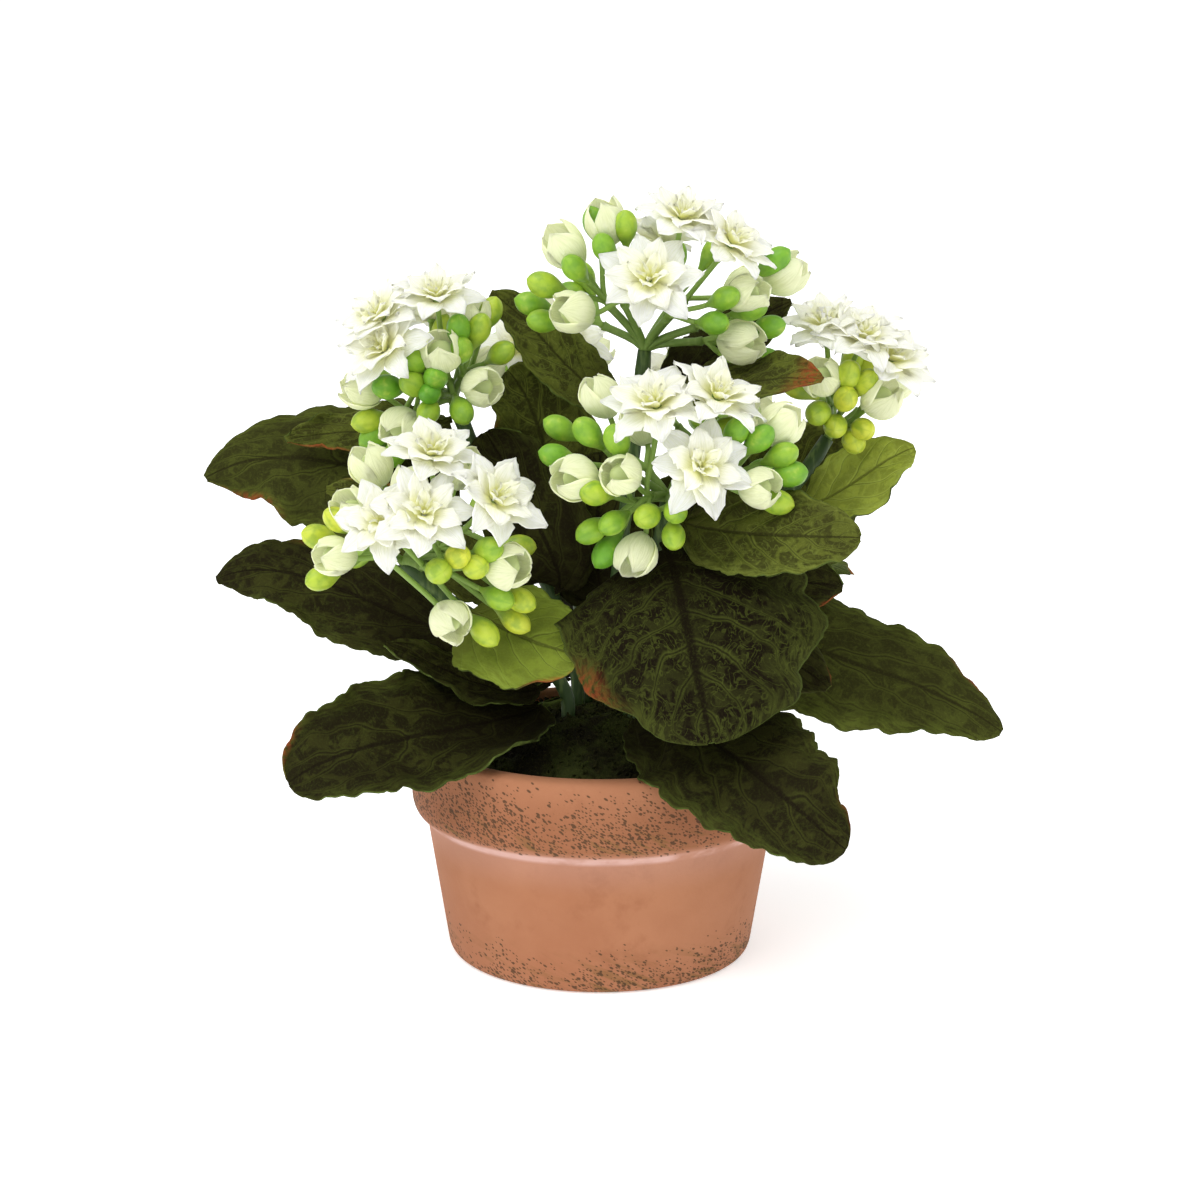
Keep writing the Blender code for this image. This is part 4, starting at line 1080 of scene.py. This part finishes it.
def leaf_relief(share, side, size, seed, look):
    """Height of the crimped cloth over the leaf's smooth form: puffed between its veins."""
    along = (share - look["sweep"] * abs(side) ** 1.15) * look["veins"]
    puff = math.sin(math.pi * (along % 1.0)) ** 0.7
    beside = 1.0 - math.exp(-(side / 0.09) ** 2)
    fade = 1.0 - 0.7 * abs(side) ** 4
    crinkle = noise.noise(Vector((share * size / 9.0, side * size / 16.0, seed)))
    flutter = noise.noise(Vector((share * size / 9.0, 3.0 * side, seed + 5.0))) * abs(side) ** 3
    return QUILT * look["relief"] * (puff * beside * fade - 0.5) + CRINKLE * crinkle + FLUTTER * flutter


def leaf_side(column):
    """Where a column of points lies across a leaf, from -1 to 1, closer together at the edges."""
    even = 2.0 * column / LEAF_COLUMNS - 1.0
    return math.copysign(abs(even) ** 0.85, even)


def leaf_dye(share, side, leaf):
    """How red the leaf is dyed at this place."""
    dyed = 0.0
    for red_share, red_side, spread in leaf.get("red", ()):
        edge = max(0.0, (side * red_side - 0.8) / 0.2) if red_side else 1.0
        dyed += edge * math.exp(-((share - red_share) / spread) ** 2)
    return min(1.0, dyed)


def build_leaf(name, leaf, index, materials):
    """One leaf as a sheet along its curve, with its edge, relief and dye."""
    base, outward, tip = leaf_ends(leaf)
    control = (base + tip) * 0.5 + Vector(leaf["bend"]) * 2.0
    near = base + outward * LEAF_SPREAD * (control - base).length
    far = tip.lerp(control, 2.0 / 3.0)
    face_tip = Vector(leaf["face"]).normalized()
    face_base = Vector(leaf.get("face_base", leaf["face"])).normalized()
    course = bend_through(base, near, far, tip, 24)
    length = sum((b - a).length for a, b in zip(course, course[1:]))
    steps = max(24, round(length / LEAF_ROW))
    teeth = round(length / TOOTH_PITCH)
    cloth = Cloth()
    look = LEAF_LOOKS[leaf["look"]]
    rows, flat, red = [], [], []
    for step in range(steps + 1):
        share = step / steps
        middle, along = cubic(base, near, far, tip, share)
        across = along.cross(face_base.lerp(face_tip, min(1.0, 2.0 * share))).normalized()
        upward = across.cross(along)
        half = leaf_half_width(share, leaf)
        fullness = min(1.0, half / (0.3 * leaf["width"]))
        sway = [1.0 + LEAF_UNEVEN * noise.noise(Vector((share * length / 11.0, 9.0 * hand, index * 11.0)))
                for hand in (-1.0, 1.0)]
        row = []
        for column in range(LEAF_COLUMNS + 1):
            side = leaf_side(column)
            depth = TOOTH_DEPTH * (0.6 + 0.8 * abs(noise.noise(Vector((share * 12.0, side, index * 7.0)))))
            tooth = (1.0 - abs(math.sin(math.pi * teeth * share + side))) * depth * fullness
            fringe = noise.noise(Vector((share * length * 1.7, 3.0 * side, index * 5.0)))
            tooth += FRINGE_DEPTH * (1.0 + fringe)
            lop = 1.0 + leaf.get("lop", 0.0) * (1.0 if side > 0.0 else -1.0)
            reach = side * (half * lop * sway[side > 0.0] - tooth * abs(side) ** 8)
            ruffle = math.sin(5.0 * math.pi * share + (0.9 if side > 0 else 2.6))
            hollow = leaf.get("cup", LEAF_CUP) + ruffle * leaf.get("wave", LEAF_WAVE)
            raised = hollow * fullness * side * side
            raised += leaf_relief(share, side, length, index * 3.7, look) * fullness
            raised += leaf_curl(share, side, leaf)
            row.append(middle + across * reach + upward * raised)
            flat.append((share * length, side * half, index * 40.0))
            red.append(leaf_dye(share, side, leaf))
        rows.append(row)
    cloth.grid(rows, lambda i, j: (i / steps, leaf_side(j), index))
    made = cloth.piece("leaf_cloth_" + name, materials, LEAF_THICKNESS, flat, red)
    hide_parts("leaf_" + name)


def build_head(name, head, draw, materials):
    """The four pieces of one flowering stem: stalks, buds, opening buds and petals."""
    fork, items = head_items(head, draw)
    upright, groups = gather(head, fork, items)
    stalks, petals, cups, buds = Cloth(), Cloth(), Cloth(), Cloth()
    add_stalks(stalks, head, fork, upright, groups)
    for item in items:
        if item["kind"] == "open":
            add_flower(petals, item, draw)
            add_calyx(stalks, item, base_depth(item))
        elif item["kind"] == "cup":
            add_cup(cups, item, draw)
            add_calyx(stalks, item, base_depth(item))
        else:
            add_bud(buds, item, draw.uniform(*head["yellow"]))
    stem_node = "stem_" + name
    flower_nodes = [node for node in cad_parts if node.startswith("flowers_" + name + "_")]
    made = stalks.piece("stalks_" + name, [materials["stalk"]])
    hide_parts(stem_node)
    made = buds.piece("buds_" + name, [materials["bud"]])
    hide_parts(stem_node)
    made = cups.piece("opening_buds_" + name, [materials["cup"]], PETAL_THICKNESS)
    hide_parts(stem_node)
    made = petals.piece("petals_" + name, [materials["petal"]], PETAL_THICKNESS)
    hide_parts(*flower_nodes)


def rounded(profile, radius, steps=4):
    """Profile with each inner corner replaced by a short curve."""
    points = [Vector(point) for point in profile]
    found = [points[0]]
    for before, corner, after in zip(points, points[1:], points[2:]):
        back, ahead = before - corner, after - corner
        start = corner + back.normalized() * min(radius, 0.45 * back.length)
        end = corner + ahead.normalized() * min(radius, 0.45 * ahead.length)
        for index in range(steps + 1):
            share = index / steps
            found.append(start * (1 - share) ** 2 + corner * 2 * share * (1 - share) + end * share ** 2)
    found.append(points[-1])
    return found


def build_pot(material):
    """The pot, turned with fine corners and the slight unevenness of fired clay."""
    cloth = Cloth()
    rows = []
    for out, height in rounded(POT_INSIDE + POT_OUTSIDE, POT_CORNER):
        row = []
        for turn in turns(POT_SIDES):
            uneven = 1.0 + POT_UNEVEN * noise.noise(around(1.0, turn, height / 30.0) * 1.4)
            row.append(around(out * uneven, turn, height))
        rows.append(row)
    cloth.grid(rows, nowhere, closed=True)
    made = cloth.piece("clay_pot", [material])
    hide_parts("pot")


def on_moss(out, turn):
    """Point on the lumpy dome of moss at a distance and an angle from its middle."""
    x, y, dome = around(out, turn, MOSS_RIM + (MOSS_TOP - MOSS_RIM) * (1.0 - (out / MOSS_RADIUS) ** 2.4))
    lumps = 2.2 * noise.noise(Vector((x / 9.0, y / 9.0, 3.0)))
    return Vector((x, y, dome + lumps + 0.9 * noise.noise(Vector((x / 3.0, y / 3.0, 8.0)))))


def build_moss(material, draw):
    """Lumpy bed of moss with short tufts standing in it."""
    cloth = Cloth()
    rings, sides = 30, 72
    rows = []
    for ring in range(rings + 1):
        out = MOSS_RADIUS * ring / rings
        rows.append([on_moss(out, turn) for turn in turns(sides)])
    rows.append([Vector((point.x * 0.97, point.y * 0.97, MOSS_FOOT)) for point in rows[-1]])
    rows.append([Vector((0.0, 0.0, MOSS_FOOT))] * sides)
    cloth.grid(rows, nowhere, closed=True)
    for index in range(MOSS_TUFTS):
        out = (MOSS_RADIUS - 1.5) * math.sqrt((index + 0.5) / MOSS_TUFTS)
        turn = index * GOLDEN_ANGLE + draw.uniform(-0.2, 0.2)
        foot = on_moss(out, turn) - Vector((0.0, 0.0, 0.6))
        lean = Vector((draw.uniform(-1.0, 1.0), draw.uniform(-1.0, 1.0), 1.1)).normalized()
        tall = draw.uniform(*TUFT_HEIGHTS)
        path = [foot, foot + lean * 0.55 * tall, foot + (lean + Vector((0.0, 0.0, -0.25))) * tall]
        cloth.tube(path, TUFT_RADII, 4)
    made = cloth.piece("moss_bed", [material])
    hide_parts("moss")


def build_stage():
    """Pale floor, white surround, two broad soft lamps and the photograph's camera."""
    scene = bpy.context.scene
    bpy.ops.mesh.primitive_circle_add(vertices=96, radius=FLOOR_RADIUS_M, fill_type="NGON")
    floor = bpy.context.active_object
    floor.name = "floor"
    shade = Shade("pale_floor")
    shade.set("Base Color", FLOOR_WHITE)
    shade.set("Emission Color", (1.0, 1.0, 1.0, 1.0))
    shade.set("Emission Strength", FLOOR_GLOW)
    shade.set("Roughness", 0.9)
    floor.data.materials.append(shade.material)

    world = bpy.data.worlds.new("studio")
    scene.world = world
    world.use_nodes = True
    nodes, links = world.node_tree.nodes, world.node_tree.links
    background = nodes["Background"]
    background.inputs["Color"].default_value = (1.0, 1.0, 1.0, 1.0)
    direction = nodes.new("ShaderNodeTexCoord")
    parts = nodes.new("ShaderNodeSeparateXYZ")
    glow = nodes.new("ShaderNodeMapRange")
    for socket, value in enumerate(SKY_FADE + SKY_STRENGTH, start=1):
        glow.inputs[socket].default_value = value
    links.new(direction.outputs["Generated"], parts.inputs[0])
    links.new(parts.outputs[2], glow.inputs[0])
    links.new(glow.outputs[0], background.inputs["Strength"])

    for name, (place, softness, power) in LAMPS.items():
        lamp = bpy.data.lights.new(name, "SUN")
        lamp.angle = softness
        lamp.energy = power
        holder = bpy.data.objects.new(name, lamp)
        holder.rotation_euler = (-Vector(place)).to_track_quat("-Z", "Y").to_euler()
        scene.collection.objects.link(holder)

    camera_data = bpy.data.cameras.new("camera")
    camera_data.sensor_width = SENSOR_WIDTH
    camera_data.lens = SENSOR_WIDTH * VIEW_DISTANCE / (PHOTO_SIDE_PX * MM_PER_PX)
    camera = bpy.data.objects.new("camera", camera_data)
    camera.location = VIEW_EYE * MM
    camera.rotation_euler = VIEW_FORWARD.to_track_quat("-Z", "Y").to_euler()
    scene.collection.objects.link(camera)
    scene.camera = camera
    scene.view_settings.view_transform = "Standard"


def main():
    """Builds the stage and every piece."""
    build_stage()
    draw = random.Random(SEED)
    materials = {
        "petal": petal_material("petal_white", PETAL_WHITE, PETAL_CREAM, PETAL_FOOT),
        "cup": petal_material("petal_opening", CUP_CREAM, CUP_GREEN, CUP_FOOT),
        "bud": bud_material(),
        "stalk": stalk_material(),
    }
    under = under_material()
    looks = {name: leaf_material("leaf_" + name, look) for name, look in LEAF_LOOKS.items()}
    build_pot(clay_material())
    build_moss(moss_material(), draw)
    for name, head in HEADS.items():
        build_head(name, head, draw, materials)
    for index, (name, leaf) in enumerate(LEAVES.items()):
        build_leaf(name, leaf, index, [looks[leaf["look"]], under])


main()
